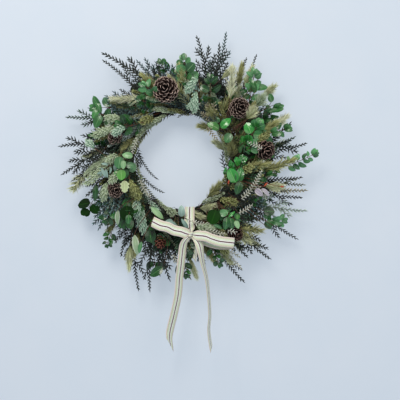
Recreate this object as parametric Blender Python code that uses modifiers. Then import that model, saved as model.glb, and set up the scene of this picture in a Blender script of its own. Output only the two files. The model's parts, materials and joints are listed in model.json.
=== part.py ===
# Pine cone wreath: a twisted vine hoop, a binding wire, wired cones, leafy sprays and a tied ribbon.
# Metres, +Z up, the front faces -Y. The origin is where a wall nail carries the hoop, inside its top.
import math

import bmesh
import bpy
from mathutils import Matrix, Vector
from mathutils.bvhtree import BVHTree

MM = 0.001
HOOP_RADIUS = 0.134
VINE_COUNT = 3
VINE_RADIUS = 0.0052
VINE_OFFSET = 0.0066
VINE_TURNS = 6
VINE_POINTS_PER_TURN = 6
BUNDLE_RADIUS = VINE_RADIUS + VINE_OFFSET

WIRE_TURNS = 18
WIRE_POINTS_PER_TURN = 8
WIRE_RADIUS = 0.0005
WIRE_HELIX_RADIUS = 0.0166

GAP = 0.00035
STEM_RADIUS = 0.0014
TWIG_TIP_RADIUS = 0.0006
TURN_DEG = 360 / WIRE_TURNS
TUCK_DEG = 0.84 * TURN_DEG
SEAT_HEIGHT = 0.0130
FACE_SEAT_HEIGHT = 0.0127

RIBBON_WIDTH = 0.025
RIBBON_THICKNESS = 0.0008

CENTRE = Vector((0, 0, BUNDLE_RADIUS - HOOP_RADIUS))
FRONT = Vector((0, -1, 0))
UP = Vector((0, 0, 1))

# Which way round the hoop's section a stem is bound: 0 is outwards, 90 the front, 180 the hole.
EDGE, FRONT_EDGE, HIGH, FACE, LOW, INNER = 0, 30, 60, 90, 120, 150

# Every stem is bound under one turn of the wire. A row has its name, the turn's number, the side of the
# hoop and how far its stem bends to the front in mm, to pass over or under its neighbours. A spray
# then has its tip's hour angle (degrees clockwise from the top), distance from the hoop's centre and
# height off the hoop's plane, in mm. A needle spray ends with its side twig's share of the stem's
# length, negative on the left.
NEEDLE_SPRAYS = [
    ("needle_top_left", 1, FRONT_EDGE, 0, 7, 312, 22, -0.30),
    ("needle_top_right", 1, EDGE, 0, 19, 340, 10, 0),
    ("needle_top_thick", 1, HIGH, 0, 18, 301, 52, 0.30),
    ("needle_crown_left", 17, FRONT_EDGE, 0, 324, 332, 26, -0.34),
    ("needle_crown", 17, EDGE, 0, 336, 276, 12, 0.30),
    ("needle_left_upper", 15, EDGE, 0, 291, 309, 14, 0.26),
    ("needle_left", 14, FRONT_EDGE, 0, 277, 307, 26, 0.24),
    ("needle_left_lower", 14, EDGE, 0, 264, 302, 12, -0.30),
    ("needle_low_left", 12, FRONT_EDGE, 0, 231, 268, 22, 0.28),
    ("needle_bottom_left", 11, EDGE, 0, 199, 340, 12, 0.26),
    ("needle_bottom", 10, FRONT_EDGE, 0, 186, 298, 24, -0.28),
    ("needle_bottom_right", 8, EDGE, 0, 153, 339, 12, 0.26),
    ("needle_low_right", 7, FRONT_EDGE, 0, 138, 327, 24, -0.26),
    ("needle_right_long", 6, EDGE, 0, 124, 348, 10, 0.24),
    ("needle_right_pale", 6, FRONT_EDGE, 0, 112, 333, 26, -0.26),
    ("needle_right", 5, EDGE, 0, 101, 312, 14, -0.24),
    ("needle_right_upper", 4, FRONT_EDGE, 0, 82, 312, 24, -0.28),
    ("needle_top_twig", 2, EDGE, 0, 35, 325, 10, -0.22),
]

# Leafy sprays add the leaf's length in mm and the number of leaf pairs.
LEAF_SPRAYS = [
    ("leaf_right_long", 5, HIGH, 0, 87, 330, 34, 24, 4),
    ("leaf_right_low", 7, HIGH, 0, 121, 290, 40, 30, 3),
    ("leaf_top_right", 3, HIGH, -10, 40, 280, 40, 28, 3),
    ("leaf_right_upper", 3, FRONT_EDGE, 0, 61, 272, 30, 28, 3),
    ("leaf_right_mid", 3, LOW, 15, 73, 270, 66, 26, 3),
    ("leaf_crown", 0, HIGH, 0, 1, 250, 40, 30, 3),
    ("leaf_face_top", 1, FACE, 0, 20, 208, 76, 30, 3),
    ("leaf_hole_top", 2, LOW, 0, 44, 132, 44, 28, 2),
    ("leaf_face_right", 4, FACE, 0, 65, 206, 74, 30, 3),
    ("leaf_glossy", 5, LOW, 0, 92, 146, 62, 32, 3),
    ("leaf_face_low_right", 6, LOW, 0, 149, 176, 58, 34, 3),
    ("leaf_face_low_left", 11, FACE, 0, 223, 204, 70, 32, 3),
    ("leaf_left_round", 13, HIGH, 0, 243, 266, 34, 30, 2),
    ("leaf_bottom", 10, HIGH, 0, 194, 284, 30, 32, 2),
    ("leaf_face_left", 13, LOW, 0, 257, 158, 66, 28, 3),
    ("leaf_face_upper_left", 15, FACE, 0, 301, 172, 72, 32, 3),
    ("leaf_left_upper", 16, HIGH, 0, 306, 264, 40, 28, 3),
]

# Soft plumes add the brush's length in mm.
PLUMES = [
    ("plume_left", 15, HIGH, -5, 255, 282, 38, 56),
    ("plume_bottom_left", 11, HIGH, 0, 206, 300, 34, 58),
    ("plume_top", 0, FACE, 0, 29, 258, 64, 70),
    ("plume_top_right", 2, HIGH, -20, 51, 296, 18, 60),
    ("plume_right", 5, FACE, 0, 89, 280, 56, 80),
    ("plume_low_right", 8, HIGH, 8, 131, 264, 52, 66),
    ("plume_hole", 7, INNER, 0, 130, 106, 34, 50),
    ("plume_face_left", 14, FACE, -8, 262, 240, 62, 80),
    ("plume_upper_left", 17, HIGH, -20, 311, 232, 58, 70),
]

# Flat scale-leaved sprays add the frond's length in mm.
SCALE_SPRAYS = [
    ("scale_hole_top", 17, LOW, 0, 16, 140, 62, 60),
    ("scale_face_left", 14, LOW, 40, 291, 186, 66, 62),
    ("scale_left", 12, LOW, 5, 280, 240, 66, 62),
    ("scale_low_left", 11, LOW, 0, 209, 200, 60, 64),
]

# Cones go on with the cone's centre (right and up of the hoop's centre), diameter and length in mm,
# and the way that its tip points (right, to the front, up).
CONES = [
    ("cone_top", 17, FACE, 0, (-40, 175), 68, 58, (-0.06, 1.0, 0.16)),
    ("cone_top_right", 2, FACE, 0, (142, 130), 55, 50, (0.16, 1.0, -0.02)),
    ("cone_right", 4, HIGH, 0, (205, 27), 53, 50, (0.30, 0.9, -0.42)),
    ("cone_left", 12, HIGH, 0, (-166, -72), 40, 38, (0.05, 1.0, 0.05)),
    ("cone_upper_left", 14, HIGH, 0, (-171, 62), 38, 36, (-0.15, 1.0, 0.10)),
    ("cone_low_left", 10, FACE, 0, (-53, -196), 32, 42, (-0.10, 0.65, -0.80)),
    ("cone_low_right", 6, HIGH, 0, (140, -190), 44, 40, (0.35, 0.9, -0.30)),
]
CONE_SIDES = 7
CONE_BACK = 34 * MM
SMALL_CONE = 45 * MM
SCALE_LIP = 1.1 * MM


def around(hour_deg, radius, height=0.0):
    """A point at a clock angle and distance from the hoop's centre, height towards the front."""
    angle = math.radians(hour_deg)
    return CENTRE + Vector((radius * math.sin(angle), -height, radius * math.cos(angle)))


def outwards(hour_deg):
    angle = math.radians(hour_deg)
    return Vector((math.sin(angle), 0, math.cos(angle)))


def backwards_round(hour_deg):
    """The anticlockwise direction along the hoop, which is the way that the sprays lean."""
    angle = math.radians(hour_deg)
    return Vector((-math.cos(angle), 0, math.sin(angle)))


def side_normal(hour_deg, side_deg):
    side = math.radians(side_deg)
    return outwards(hour_deg) * math.cos(side) + FRONT * math.sin(side)


def on_hoop(hour_deg, side_deg, height):
    """A point at that height over the hoop's centre line, on the side that the angle gives."""
    return around(hour_deg, HOOP_RADIUS) + side_normal(hour_deg, side_deg) * height


def steps(first, last, count):
    return [first + (last - first) * i / (count - 1) for i in range(count)]


class Obstacles:
    """What is already in place, so that a later spray is bent clear of it."""

    def __init__(self):
        self.placed = []

    def add(self, obj):
        points = [obj.matrix_world @ v.co for v in obj.data.vertices]
        faces = [tuple(p.vertices) for p in obj.data.polygons]
        self.placed.append((*self.corners(points), BVHTree.FromPolygons(points, faces)))

    @staticmethod
    def corners(points):
        low = Vector(min(p[i] for p in points) for i in range(3))
        high = Vector(max(p[i] for p in points) for i in range(3))
        return low, high

    def meet(self, points, faces):
        low, high = self.corners(points)
        tree = None
        for other_low, other_high, other in self.placed:
            if all(low[i] <= other_high[i] and other_low[i] <= high[i] for i in range(3)):
                tree = tree or BVHTree.FromPolygons(points, faces)
                if tree.overlap(other):
                    return True
        return False


class Route:
    """A smooth line that a stem follows, read by the distance along it."""

    def __init__(self, points):
        self.points = points
        self.marks = [0.0]
        for a, b in zip(points, points[1:]):
            self.marks.append(self.marks[-1] + (b - a).length)
        self.length = self.marks[-1]

    def at(self, distance):
        distance = min(max(distance, 0.0), self.length)
        i = 0
        while i < len(self.marks) - 2 and self.marks[i + 1] < distance:
            i += 1
        share = (distance - self.marks[i]) / (self.marks[i + 1] - self.marks[i])
        return self.points[i].lerp(self.points[i + 1], share)

    def heading(self, distance):
        reach = 2 * MM
        return (self.at(distance + reach) - self.at(distance - reach)).normalized()

    def frame(self, distance):
        """Heading, the side to its right and the way that faces the front."""
        along = self.heading(distance)
        across = along.cross(FRONT)
        if across.length < 0.2:
            across = along.cross(UP)
        across.normalize()
        return along, across, across.cross(along)


def curved(start, leave, arrive, end, count=14):
    """Points on a cubic curve from start to end."""
    points = []
    for t in steps(0, 1, count):
        u = 1 - t
        points.append(start * u**3 + leave * (3 * u * u * t) + arrive * (3 * u * t * t) + end * t**3)
    return points


def ring_points(route, distance, radius, sides, twist):
    """The corners of a stem's section."""
    along, across, face = route.frame(distance)
    centre = route.at(distance)
    corners = []
    for i in range(sides):
        angle = math.radians(90 + twist) + 2 * math.pi * i / sides
        corners.append(centre + (across * math.cos(angle) + face * math.sin(angle)) * radius)
    return corners


def grow_stem(bm, route, stations, sides):
    """Extrudes a stem through its stations (distance, radius, twist); returns each stretch's faces."""
    made = bmesh.ops.create_circle(bm, cap_ends=True, segments=sides, radius=stations[0][1])
    cap = made["verts"][0].link_faces[0]
    for vert, point in zip(cap.verts, ring_points(route, *stations[0][:2], sides, stations[0][2])):
        vert.co = point
    stretches = []
    for distance, radius, twist in stations[1:]:
        cap = extrude(bm, cap, ring_points(route, distance, radius, sides, twist))
        stretches.append([f for e in cap.edges for f in e.link_faces if f is not cap])
    bmesh.ops.holes_fill(bm, edges=[e for e in bm.edges if e.is_boundary])
    return stretches


def extrude(bm, face, points):
    """Extrudes one face to the given corners."""
    grown = bmesh.ops.extrude_discrete_faces(bm, faces=[face])["faces"][0]
    for vert, point in zip(grown.verts, points):
        vert.co = point
    return grown


def matched(face, centre, along, across, face_way, half_width, half_depth):
    """The corners of a blade's section, in the order that keeps them nearest the face's own."""
    corners = [
        centre - across * half_width - face_way * half_depth,
        centre + across * half_width - face_way * half_depth,
        centre + across * half_width + face_way * half_depth,
        centre - across * half_width + face_way * half_depth,
    ]
    own = [v.co.copy() for v in face.verts]
    middle = sum(own, Vector()) / 4
    turn = sum(((a - middle).cross(b - middle) for a, b in zip(own, own[1:] + own[:1])), Vector())
    if turn.dot(along) * across.cross(face_way).dot(along) < 0:
        corners.reverse()
    shifts = [corners[i:] + corners[:i] for i in range(4)]
    return min(
        shifts,
        key=lambda order: sum(((p - centre).normalized() - (q - middle).normalized()).length
                              for p, q in zip(order, own)),
    )


# A blade's outline: share of its length, share of its half width, and rise towards the front.
# The last row is its point.
LEAF_OUTLINE = [(0.32, 0.88, 0.05), (0.72, 0.92, 0.03), (1.0, 0, -0.05)]
BRANCHLET_OUTLINE = [(0.55, 1.0, 0.03), (1.0, 0, -0.04)]
BLADE_HALF_DEPTH = 0.45 * MM


def blade_sections(outline, centre, along, face_way, length, half_width, spare=0.0):
    sections = []
    for share, wide, rise in outline:
        middle = centre + along * (length * share + spare * share) + face_way * (length * rise)
        sections.append((middle, half_width * wide + spare))
    return sections


def blade_is_clear(obstacles, outline, centre, along, across, face_way, length, half_width):
    """Tests a slightly larger copy of the blade."""
    spare = 2 * GAP
    points = []
    start = centre + along * spare
    sections = blade_sections(outline, centre, along, face_way, length, half_width, spare)
    for middle, half in [(start, spare), *sections]:
        for side, depth in ((-1, -1), (1, -1), (1, 1), (-1, 1)):
            points.append(middle + across * half * side
                          + face_way * (BLADE_HALF_DEPTH + spare) * depth)
    faces = [(0, 1, 2, 3), tuple(range(len(points) - 4, len(points)))]
    for i in range(0, len(points) - 4, 4):
        faces += [(i + j, i + (j + 1) % 4, i + 4 + (j + 1) % 4, i + 4 + j) for j in range(4)]
    return not obstacles.meet(points, faces)


def raise_blade(bm, obstacles, face, along, across, length, half_width, outline=LEAF_OUTLINE):
    """Extrudes a leaf from one face of the stem, turned a little if it would cross what is there."""
    centre = face.calc_center_median()
    for lift_deg in (0, 14, -14, 28, -28, 42):
        turn = Matrix.Rotation(math.radians(lift_deg), 3, across)
        heading = (turn @ along).normalized()
        face_way = across.cross(heading).normalized()
        size = (length, half_width)
        if blade_is_clear(obstacles, outline, centre, heading, across, face_way, *size):
            *sections, point = blade_sections(outline, centre, heading, face_way, *size)
            for middle, half in sections:
                corners = matched(face, middle, heading, across, face_way, half, BLADE_HALF_DEPTH)
                face = extrude(bm, face, corners)
            bmesh.ops.poke(bm, faces=[face])["verts"][0].co = point[0]
            return


def raise_needle(bm, obstacles, face, apex):
    """Pulls a needle's point out of one face of the stem, if the way is clear."""
    centre = face.calc_center_median()
    spare = 2 * GAP
    root = centre.lerp(apex, 0.15)
    points = [root + (v.co - centre) * 1.2 for v in face.verts]
    points.append(apex + (apex - centre).normalized() * spare)
    count = len(points) - 1
    faces = [(i, (i + 1) % count, count) for i in range(count)]
    if not obstacles.meet(points, faces):
        bmesh.ops.poke(bm, faces=[face])["verts"][0].co = apex


def twig_is_clear(obstacles, route):
    """Tests a slightly thicker copy of a side twig."""
    radius, sides = STEM_RADIUS + 2 * GAP, 4
    points = []
    for distance in steps(0, route.length, max(4, round(route.length / (7 * MM)))):
        points += ring_points(route, distance, radius, sides, 0)
    faces = []
    for i in range(0, len(points) - sides, sides):
        faces += [(i + j, i + (j + 1) % sides, i + sides + (j + 1) % sides, i + sides + j)
                  for j in range(sides)]
    return not obstacles.meet(points, faces)


def tucked(turn, side):
    """The stretch of a stem that lies along the vines under that turn of the wire."""
    leaving = (turn + 0.5 + side / 360) * TURN_DEG
    height = FACE_SEAT_HEIGHT if side == FACE else SEAT_HEIGHT
    return [on_hoop(hour, side, height) for hour in steps(leaving + TUCK_DEG, leaving, 4)]


def stem_route(turn, side, bend_mm, tip, arrive_from):
    """A route from under the wire to the tip, and how much of it lies on the vines."""
    lying = tucked(turn, side)
    leaving = (turn + 0.5 + side / 360) * TURN_DEG
    span = (tip - lying[-1]).length
    bend = FRONT * bend_mm * MM
    rise = side_normal(leaving, side) * 0.22 + backwards_round(leaving) * 0.16
    leave = lying[-1] + rise * span + bend * 0.6
    arrive = tip + arrive_from * span * 0.35 + bend
    return Route([*lying, *curved(lying[-1], leave, arrive, tip)[1:]]), Route(lying).length


def aim_at(turn, side, tip_hour, radius_mm, height_mm):
    """A spray's tip, and the direction from which its stem arrives there."""
    tip = around(tip_hour, radius_mm * MM, height_mm * MM)
    root_hour = (turn + 0.5 + side / 360) * TURN_DEG
    halfway = tip_hour + ((root_hour - tip_hour + 180) % 360 - 180) / 2
    inner = around(halfway, 0.62 * radius_mm * MM + 0.2 * HOOP_RADIUS, height_mm * MM)
    return tip, (inner - tip).normalized()


def finish(name, bm, surface, obstacles):
    """The bmesh as one closed object of the wreath."""
    bmesh.ops.recalc_face_normals(bm, faces=bm.faces)
    if bm.calc_volume(signed=True) < 0:
        bmesh.ops.reverse_faces(bm, faces=bm.faces)
    mesh = bpy.data.meshes.new(name)
    bm.to_mesh(mesh)
    bm.free()
    mesh.materials.append(surface)
    obj = bpy.data.objects.new(name, mesh)
    WREATH.objects.link(obj)
    obstacles.add(obj)


def material(name, colour, roughness, metallic=0.0):
    made = bpy.data.materials.new(name)
    made.use_nodes = True
    shader = made.node_tree.nodes["Principled BSDF"]
    shader.inputs["Base Color"].default_value = (*colour, 1)
    shader.inputs["Roughness"].default_value = roughness
    shader.inputs["Metallic"].default_value = metallic
    made.diffuse_color = (*colour, 1)
    return made


def wound_curve(name, turns, points_per_turn, phase_deg, height):
    """A closed helix round the hoop's centre line, as a curve."""
    count = turns * points_per_turn
    data = bpy.data.curves.new(name, "CURVE")
    data.dimensions = "3D"
    spline = data.splines.new("POLY")
    spline.points.add(count - 1)
    for i, point in enumerate(spline.points):
        hour = 360 * i / count
        point.co = (*on_hoop(hour, phase_deg + hour * turns, height), 1)
    spline.use_cyclic_u = True
    return data


def make_vine(number):
    """One vine of the hoop, wound round the others."""
    name = f"vine_{number}"
    data = wound_curve(name, VINE_TURNS, VINE_POINTS_PER_TURN, 360 * number / VINE_COUNT, VINE_OFFSET)
    data.bevel_depth = VINE_RADIUS
    data.bevel_resolution = 1
    return as_mesh(bpy.data.objects.new(name, data), BARK)


def make_wire():
    """The binding wire: one helix round the vines and the tucked stems, with three sides."""
    section = bpy.data.curves.new("wire section", "CURVE")
    outline = section.splines.new("POLY")
    outline.points.add(2)
    for i, point in enumerate(outline.points):
        angle = -2 * math.pi * i / 3
        point.co = (WIRE_RADIUS * math.cos(angle), WIRE_RADIUS * math.sin(angle), 0, 1)
    outline.use_cyclic_u = True
    section_object = bpy.data.objects.new("wire section", section)
    data = wound_curve("binding_wire", WIRE_TURNS, WIRE_POINTS_PER_TURN, 0, WIRE_HELIX_RADIUS)
    data.bevel_mode = "OBJECT"
    data.bevel_object = section_object
    wire = as_mesh(bpy.data.objects.new("binding_wire", data), WIRE)
    bpy.data.objects.remove(section_object)
    return wire


def as_mesh(curve, surface):
    """A curve object made a mesh object of the same name."""
    WREATH.objects.link(curve)
    bpy.context.view_layer.update()
    name = curve.name
    graph = bpy.context.evaluated_depsgraph_get()
    mesh = bpy.data.meshes.new_from_object(curve.evaluated_get(graph))
    bpy.data.objects.remove(curve)
    mesh.name = name
    mesh.materials.clear()
    mesh.materials.append(surface)
    obj = bpy.data.objects.new(name, mesh)
    WREATH.objects.link(obj)
    return obj


SIDE_TWIG_AT = 0.52
NEEDLE_LENGTH = 11 * MM
WHORL_DEPTH = 2.2 * MM
WHORL_SPACING = 18.5 * MM


def whorl_stations(route, first, start):
    """Stations in pairs, a short one for the needles between two bare ones."""
    stations = list(start)
    distance, number = first, 0
    while distance < route.length - 3 * MM:
        share = distance / route.length
        radius = STEM_RADIUS + (TWIG_TIP_RADIUS - STEM_RADIUS) * share
        twist = 60 * (number % 2)
        stations += [(distance, radius, twist), (distance + WHORL_DEPTH, radius * 0.96, twist)]
        distance += WHORL_SPACING * (1 - 0.35 * share)
        number += 1
    stations.append((route.length, TWIG_TIP_RADIUS * 0.6, stations[-1][2]))
    return stations


def raise_whorls(bm, obstacles, route, stations, stretches):
    """Needles on every short stretch, leaning forwards."""
    for (first, radius, _), (second, _, _), faces in zip(stations, stations[1:], stretches):
        if abs(second - first - WHORL_DEPTH) > 1e-5:
            continue
        along = route.heading(first)
        centre = route.at((first + second) / 2)
        shrink = 0.62 + 0.38 * math.sin(math.pi * min(1.0, 1.15 * (1 - first / route.length) + 0.12))
        for face in faces:
            away = face.calc_center_median() - centre
            away = (away - along * away.dot(along)).normalized()
            apex = face.calc_center_median() + (away * 0.80 + along * 0.62) * NEEDLE_LENGTH * shrink
            raise_needle(bm, obstacles, face, apex)


def build_needle_spray(bm, obstacles, route, tuck, branch):
    """A twig with whorls of short needles, and a side twig where branch isn't 0."""
    bare = tuck + 0.26 * (route.length - tuck)
    start = [(d, STEM_RADIUS, 0) for d in (0, tuck * 0.5, tuck, (tuck + bare) / 2)]
    stations = whorl_stations(route, bare, start)
    stretches = grow_stem(bm, route, stations, 3)
    if branch:
        add_side_twig(bm, obstacles, route, stations, stretches, branch)
    raise_whorls(bm, obstacles, route, stations, stretches)


def add_side_twig(bm, obstacles, route, stations, stretches, branch):
    """A shorter twig from one face of the stem, with needles of its own."""
    where = route.length * SIDE_TWIG_AT
    choice = min(range(4, len(stretches)),
                 key=lambda i: abs((stations[i][0] + stations[i + 1][0]) / 2 - where)
                 + (1 if stations[i + 1][0] - stations[i][0] < 1.5 * WHORL_DEPTH else 0))
    middle = (stations[choice][0] + stations[choice + 1][0]) / 2
    along, across, face_way = route.frame(middle)
    way = across if branch > 0 else -across
    face = max(stretches[choice], key=lambda f: (f.calc_center_median() - route.at(middle)).dot(way))
    start = face.calc_center_median()
    reach = abs(branch) * route.length
    end = start + (along * 0.86 + way * 0.44 + face_way * 0.04).normalized() * reach
    twig = Route(curved(start, start + (way + along).normalized() * reach * 0.3,
                        end - along * reach * 0.3, end))
    tail = Route([twig.at(d) for d in steps(4 * MM, twig.length, 10)])
    if not twig_is_clear(obstacles, tail):
        return
    distance = 3 * MM
    while distance < twig.length:
        share = distance / twig.length
        radius = 1.0 * MM * (1 - 0.5 * share)
        face = extrude_matched(bm, face, twig, distance, radius)
        face = extrude_matched(bm, face, twig, distance + WHORL_DEPTH, radius * 0.96)
        sides = [f for e in face.edges for f in e.link_faces if f is not face]
        heading = twig.heading(distance)
        centre = twig.at(distance + WHORL_DEPTH / 2)
        for side in sides:
            away = side.calc_center_median() - centre
            away = (away - heading * away.dot(heading)).normalized()
            apex = side.calc_center_median() + (away * 0.8 + heading * 0.62) * NEEDLE_LENGTH * 0.8
            raise_needle(bm, obstacles, side, apex)
        distance += WHORL_SPACING * 0.9


def extrude_matched(bm, face, route, distance, radius):
    along, across, face_way = route.frame(distance)
    corners = matched(face, route.at(distance), along, across, face_way, radius, radius)
    return extrude(bm, face, corners)


def side_faces(faces, centre, across):
    """The faces on a stem's right and left, each with its direction."""
    ways = (across, -across)
    return [(max(faces, key=lambda f: (f.calc_center_median() - centre).dot(way)), way) for way in ways]


def build_leaf_spray(bm, obstacles, route, tuck, leaf_mm, pairs):
    """A stem with pairs of oval leaves and one at its tip."""
    free = route.length - tuck
    leaf_length = leaf_mm * MM
    nodes = steps(route.length - leaf_length * 0.7 * pairs, route.length - leaf_length * 0.35, pairs)
    nodes = [max(n, tuck + 0.3 * free + i * 3 * MM) for i, n in enumerate(nodes)]
    stations = [(d, STEM_RADIUS, 45) for d in (0, tuck * 0.5, tuck, tuck + 0.15 * free)]
    for node in nodes:
        stations += [(node - 1.2 * MM, STEM_RADIUS * 0.9, 45), (node + 1.2 * MM, STEM_RADIUS * 0.86, 45)]
    stations.append((route.length, TWIG_TIP_RADIUS, 45))
    stretches = grow_stem(bm, route, stations, 4)
    for number, node in enumerate(nodes):
        along, across, face_way = route.frame(node)
        faces = stretches[4 + 2 * number]
        size = leaf_length * (1.0 - 0.12 * number)
        for face, way in side_faces(faces, route.at(node), across):
            tilt = 0.22 * (-1) ** number
            heading = (way * 0.82 + along * 0.5 + face_way * tilt).normalized()
            width_way = heading.cross(FRONT).normalized()
            raise_blade(bm, obstacles, face, heading, width_way, size, size * 0.33)
    tip = route.points[-1]
    end_cap = min(bm.faces, key=lambda f: (f.calc_center_median() - tip).length)
    heading = route.heading(route.length)
    raise_blade(bm, obstacles, end_cap, heading, heading.cross(FRONT).normalized(),
                leaf_length * 0.7, leaf_length * 0.22)


PLUME_SIDES = 6
PLUME_RINGS = 6
PLUME_CORE = 3.4 * MM
PLUME_HAIR = 13 * MM


def build_plume(bm, obstacles, route, tuck, brush_mm):
    """A stem that ends in a soft brush, with spikes from every face of its core."""
    brush = brush_mm * MM
    root = route.length - brush
    stations = [(d, STEM_RADIUS, 0) for d in (0, tuck * 0.5, tuck, (tuck + root) / 2, root)]
    bare = len(stations) - 1
    for i in range(1, PLUME_RINGS + 1):
        share = i / PLUME_RINGS
        swell = math.sin(math.pi * (0.16 + 0.78 * share)) ** 0.7
        stations.append((root + brush * 0.88 * share, PLUME_CORE * swell, 30 * i))
    stretches = grow_stem(bm, route, stations, PLUME_SIDES)
    for i, faces in enumerate(stretches[bare:]):
        first, second = stations[bare + i][0], stations[bare + i + 1][0]
        centre = route.at((first + second) / 2)
        along = route.heading(first)
        share = i / PLUME_RINGS
        hair = PLUME_HAIR * (0.55 + 0.45 * math.sin(math.pi * (0.2 + 0.7 * share)))
        for face in faces:
            middle = face.calc_center_median()
            away = (middle - centre - along * (middle - centre).dot(along)).normalized()
            lean = 0.62 + 0.5 * share
            raise_needle(bm, obstacles, face, middle + (away * 0.78 + along * lean) * hair)
    core_end = route.at(root + brush * 0.88)
    end = min(bm.faces, key=lambda f: (f.calc_center_median() - core_end).length)
    raise_needle(bm, obstacles, end, route.at(route.length))


FROND_PAIRS = 6


def build_scale_spray(bm, obstacles, route, tuck, frond_mm):
    """A flat frond: a midrib with blunt side branchlets in pairs."""
    frond = frond_mm * MM
    root = route.length - frond
    stations = [(d, STEM_RADIUS, 45) for d in (0, tuck * 0.5, tuck, (tuck + root) / 2)]
    first = len(stations)
    nodes = steps(root, route.length - 8 * MM, FROND_PAIRS)
    for node in nodes:
        stations += [(node, STEM_RADIUS, 45), (node + 3 * MM, STEM_RADIUS * 0.9, 45)]
    stations.append((route.length, TWIG_TIP_RADIUS, 45))
    stretches = grow_stem(bm, route, stations, 4)
    for number, node in enumerate(nodes):
        along, across, face_way = route.frame(node)
        faces = stretches[first + 2 * number]
        size = frond * (0.42 - 0.05 * number)
        for face, way in side_faces(faces, route.at(node), across):
            heading = (way * 0.62 + along * 0.72 + face_way * 0.10).normalized()
            width_way = heading.cross(FRONT).normalized()
            raise_blade(bm, obstacles, face, heading, width_way, size, 2.8 * MM, BRANCHLET_OUTLINE)


def cone_profile(share):
    """The core's radius along the cone, as a share of the widest."""
    return math.sin(math.pi * (0.10 + 0.78 * share)) ** 0.8


def cone_stand(place, length_mm, axis):
    """The middle of a cone's base, and the way that its tip points."""
    pointing = Vector((axis[0], -axis[1], axis[2])).normalized()
    height = CONE_BACK + length_mm * MM / 2
    middle = CENTRE + Vector((place[0] * MM, -height, place[1] * MM))
    return middle - pointing * length_mm * MM / 2, pointing


def build_cone(bm, route, tuck, diameter, length, pointing):
    """A cone on its stalk: a core, and a scale extruded from every face of it."""
    body = Route([*route.points, route.points[-1] + pointing * length])
    start = route.length
    stations = [(d, STEM_RADIUS, 0) for d in (0, tuck * 0.5, tuck)]
    stations += [(tuck + (start - tuck) * share, STEM_RADIUS, 0) for share in (0.35, 0.7)]
    bare = len(stations)
    rings = 6 if diameter > SMALL_CONE else 4
    for i in range(rings + 1):
        share = i / rings
        radius = 0.23 * diameter * cone_profile(share)
        stations.append((start + length * 0.86 * share, radius, 180 / CONE_SIDES * i))
    stretches = grow_stem(bm, body, stations, CONE_SIDES)
    for i, faces in enumerate(stretches[bare:]):
        raise_scales(bm, body, faces, stations[bare + i], (i + 0.5) / rings, diameter)


def raise_scales(bm, body, faces, station, share, diameter):
    """Woody scales, wide and flat at the base of the cone and upright near its tip."""
    along = body.heading(station[0] + 3 * MM)
    centre = body.at(station[0])
    reach = diameter * (0.5 - 0.23 * cone_profile(share)) * (1 - 0.35 * share)
    for face in faces:
        middle = face.calc_center_median()
        away = (middle - centre - along * (middle - centre).dot(along)).normalized()
        lean = 0.15 + 0.95 * share
        heading = (away + along * lean).normalized()
        width_way = heading.cross(along).normalized()
        flat_way = width_way.cross(heading).normalized()
        lip = middle + heading * reach
        wide = diameter * (0.155 - 0.055 * share)
        extrude(bm, face, matched(face, lip, heading, width_way, flat_way, wide, SCALE_LIP))


def strip(name, points, ways):
    """A ribbon strip along points, its width along ways, given its thickness by Solidify."""
    bm = bmesh.new()
    rails = []
    for point, way in zip(points, ways):
        half = way * RIBBON_WIDTH / 2
        rails.append((bm.verts.new(point - half), bm.verts.new(point + half)))
    for (a, b), (c, d) in zip(rails, rails[1:]):
        bm.faces.new((a, b, d, c))
    mesh = bpy.data.meshes.new(name)
    bm.to_mesh(mesh)
    bm.free()
    obj = bpy.data.objects.new(name, mesh)
    solidify = obj.modifiers.new("Thickness", "SOLIDIFY")
    solidify.thickness = RIBBON_THICKNESS
    solidify.offset = 0
    return obj


def smooth(points, count):
    """Points on a Catmull-Rom curve through the given ones."""
    ends = [points[0] * 2 - points[1], *points, points[-1] * 2 - points[-2]]
    made = []
    for t in steps(0, len(points) - 1 - 1e-9, count):
        i = int(t)
        u = t - i
        a, b, c, d = ends[i : i + 4]
        made.append((b * 2 + (c - a) * u + (a * 2 - b * 5 + c * 4 - d) * u * u
                     + (b * 3 - a - c * 3 + d) * u**3) / 2)
    return made


# The ribbon's points are right of, in front of and above the hoop's centre, in mm.
KNOT = (22, 84, -187)
BAND = [(20, 84, -183), (20, 62, -152), (20, 30, -124), (20, 8, -114.6), (20, -10, -114.8),
        (20, -17.6, -121), (20, -18.6, -140), (20, -15, -185), (20, 8, -238), (20, 40, -247),
        (20, 70, -222), (21, 82, -193)]
LEFT_LOOP = [(20, 88, -186), (-6, 92, -178), (-38, 93, -165), (-64, 91, -155.5), (-72, 84, -153),
             (-64, 77, -156), (-38, 74, -166), (-6, 77, -179), (20, 81, -188)]
RIGHT_LOOP = [(24, 88, -188), (50, 93, -193), (84, 95, -201), (116, 92, -207), (126, 85, -209),
              (116, 77, -208), (84, 74, -203), (50, 77, -196), (24, 81, -190)]
LEFT_TAIL = [(20, 87, -188), (8, 88, -215), (-2, 86, -250), (-8, 82, -290), (-16, 78, -345),
             (-25, 76, -400), (-33, 75, -440), (-30, 75, -482)]
RIGHT_TAIL = [(25, 87, -190), (38, 89, -215), (50, 87, -250), (60, 83, -285), (65, 79, -325),
              (72, 77, -382), (68, 76, -420), (74, 75, -480)]
RIGHT_TAIL_TURN_DEG = 62


def placed(rows):
    return [CENTRE + Vector((x * MM, -y * MM, z * MM)) for x, y, z in rows]


def flat_ways(points):
    """Across each point of a path, in the plane that faces the front."""
    ways = []
    for i in range(len(points)):
        heading = points[min(i + 1, len(points) - 1)] - points[max(i - 1, 0)]
        heading.y = 0
        ways.append(heading.normalized().cross(FRONT).normalized())
    return ways


def loop_ways(points):
    """The same, where the strip turns back on itself: one direction for the whole loop."""
    reach = points[len(points) // 2] - points[0]
    reach.y = 0
    return [reach.normalized().cross(FRONT).normalized()] * len(points)


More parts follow.
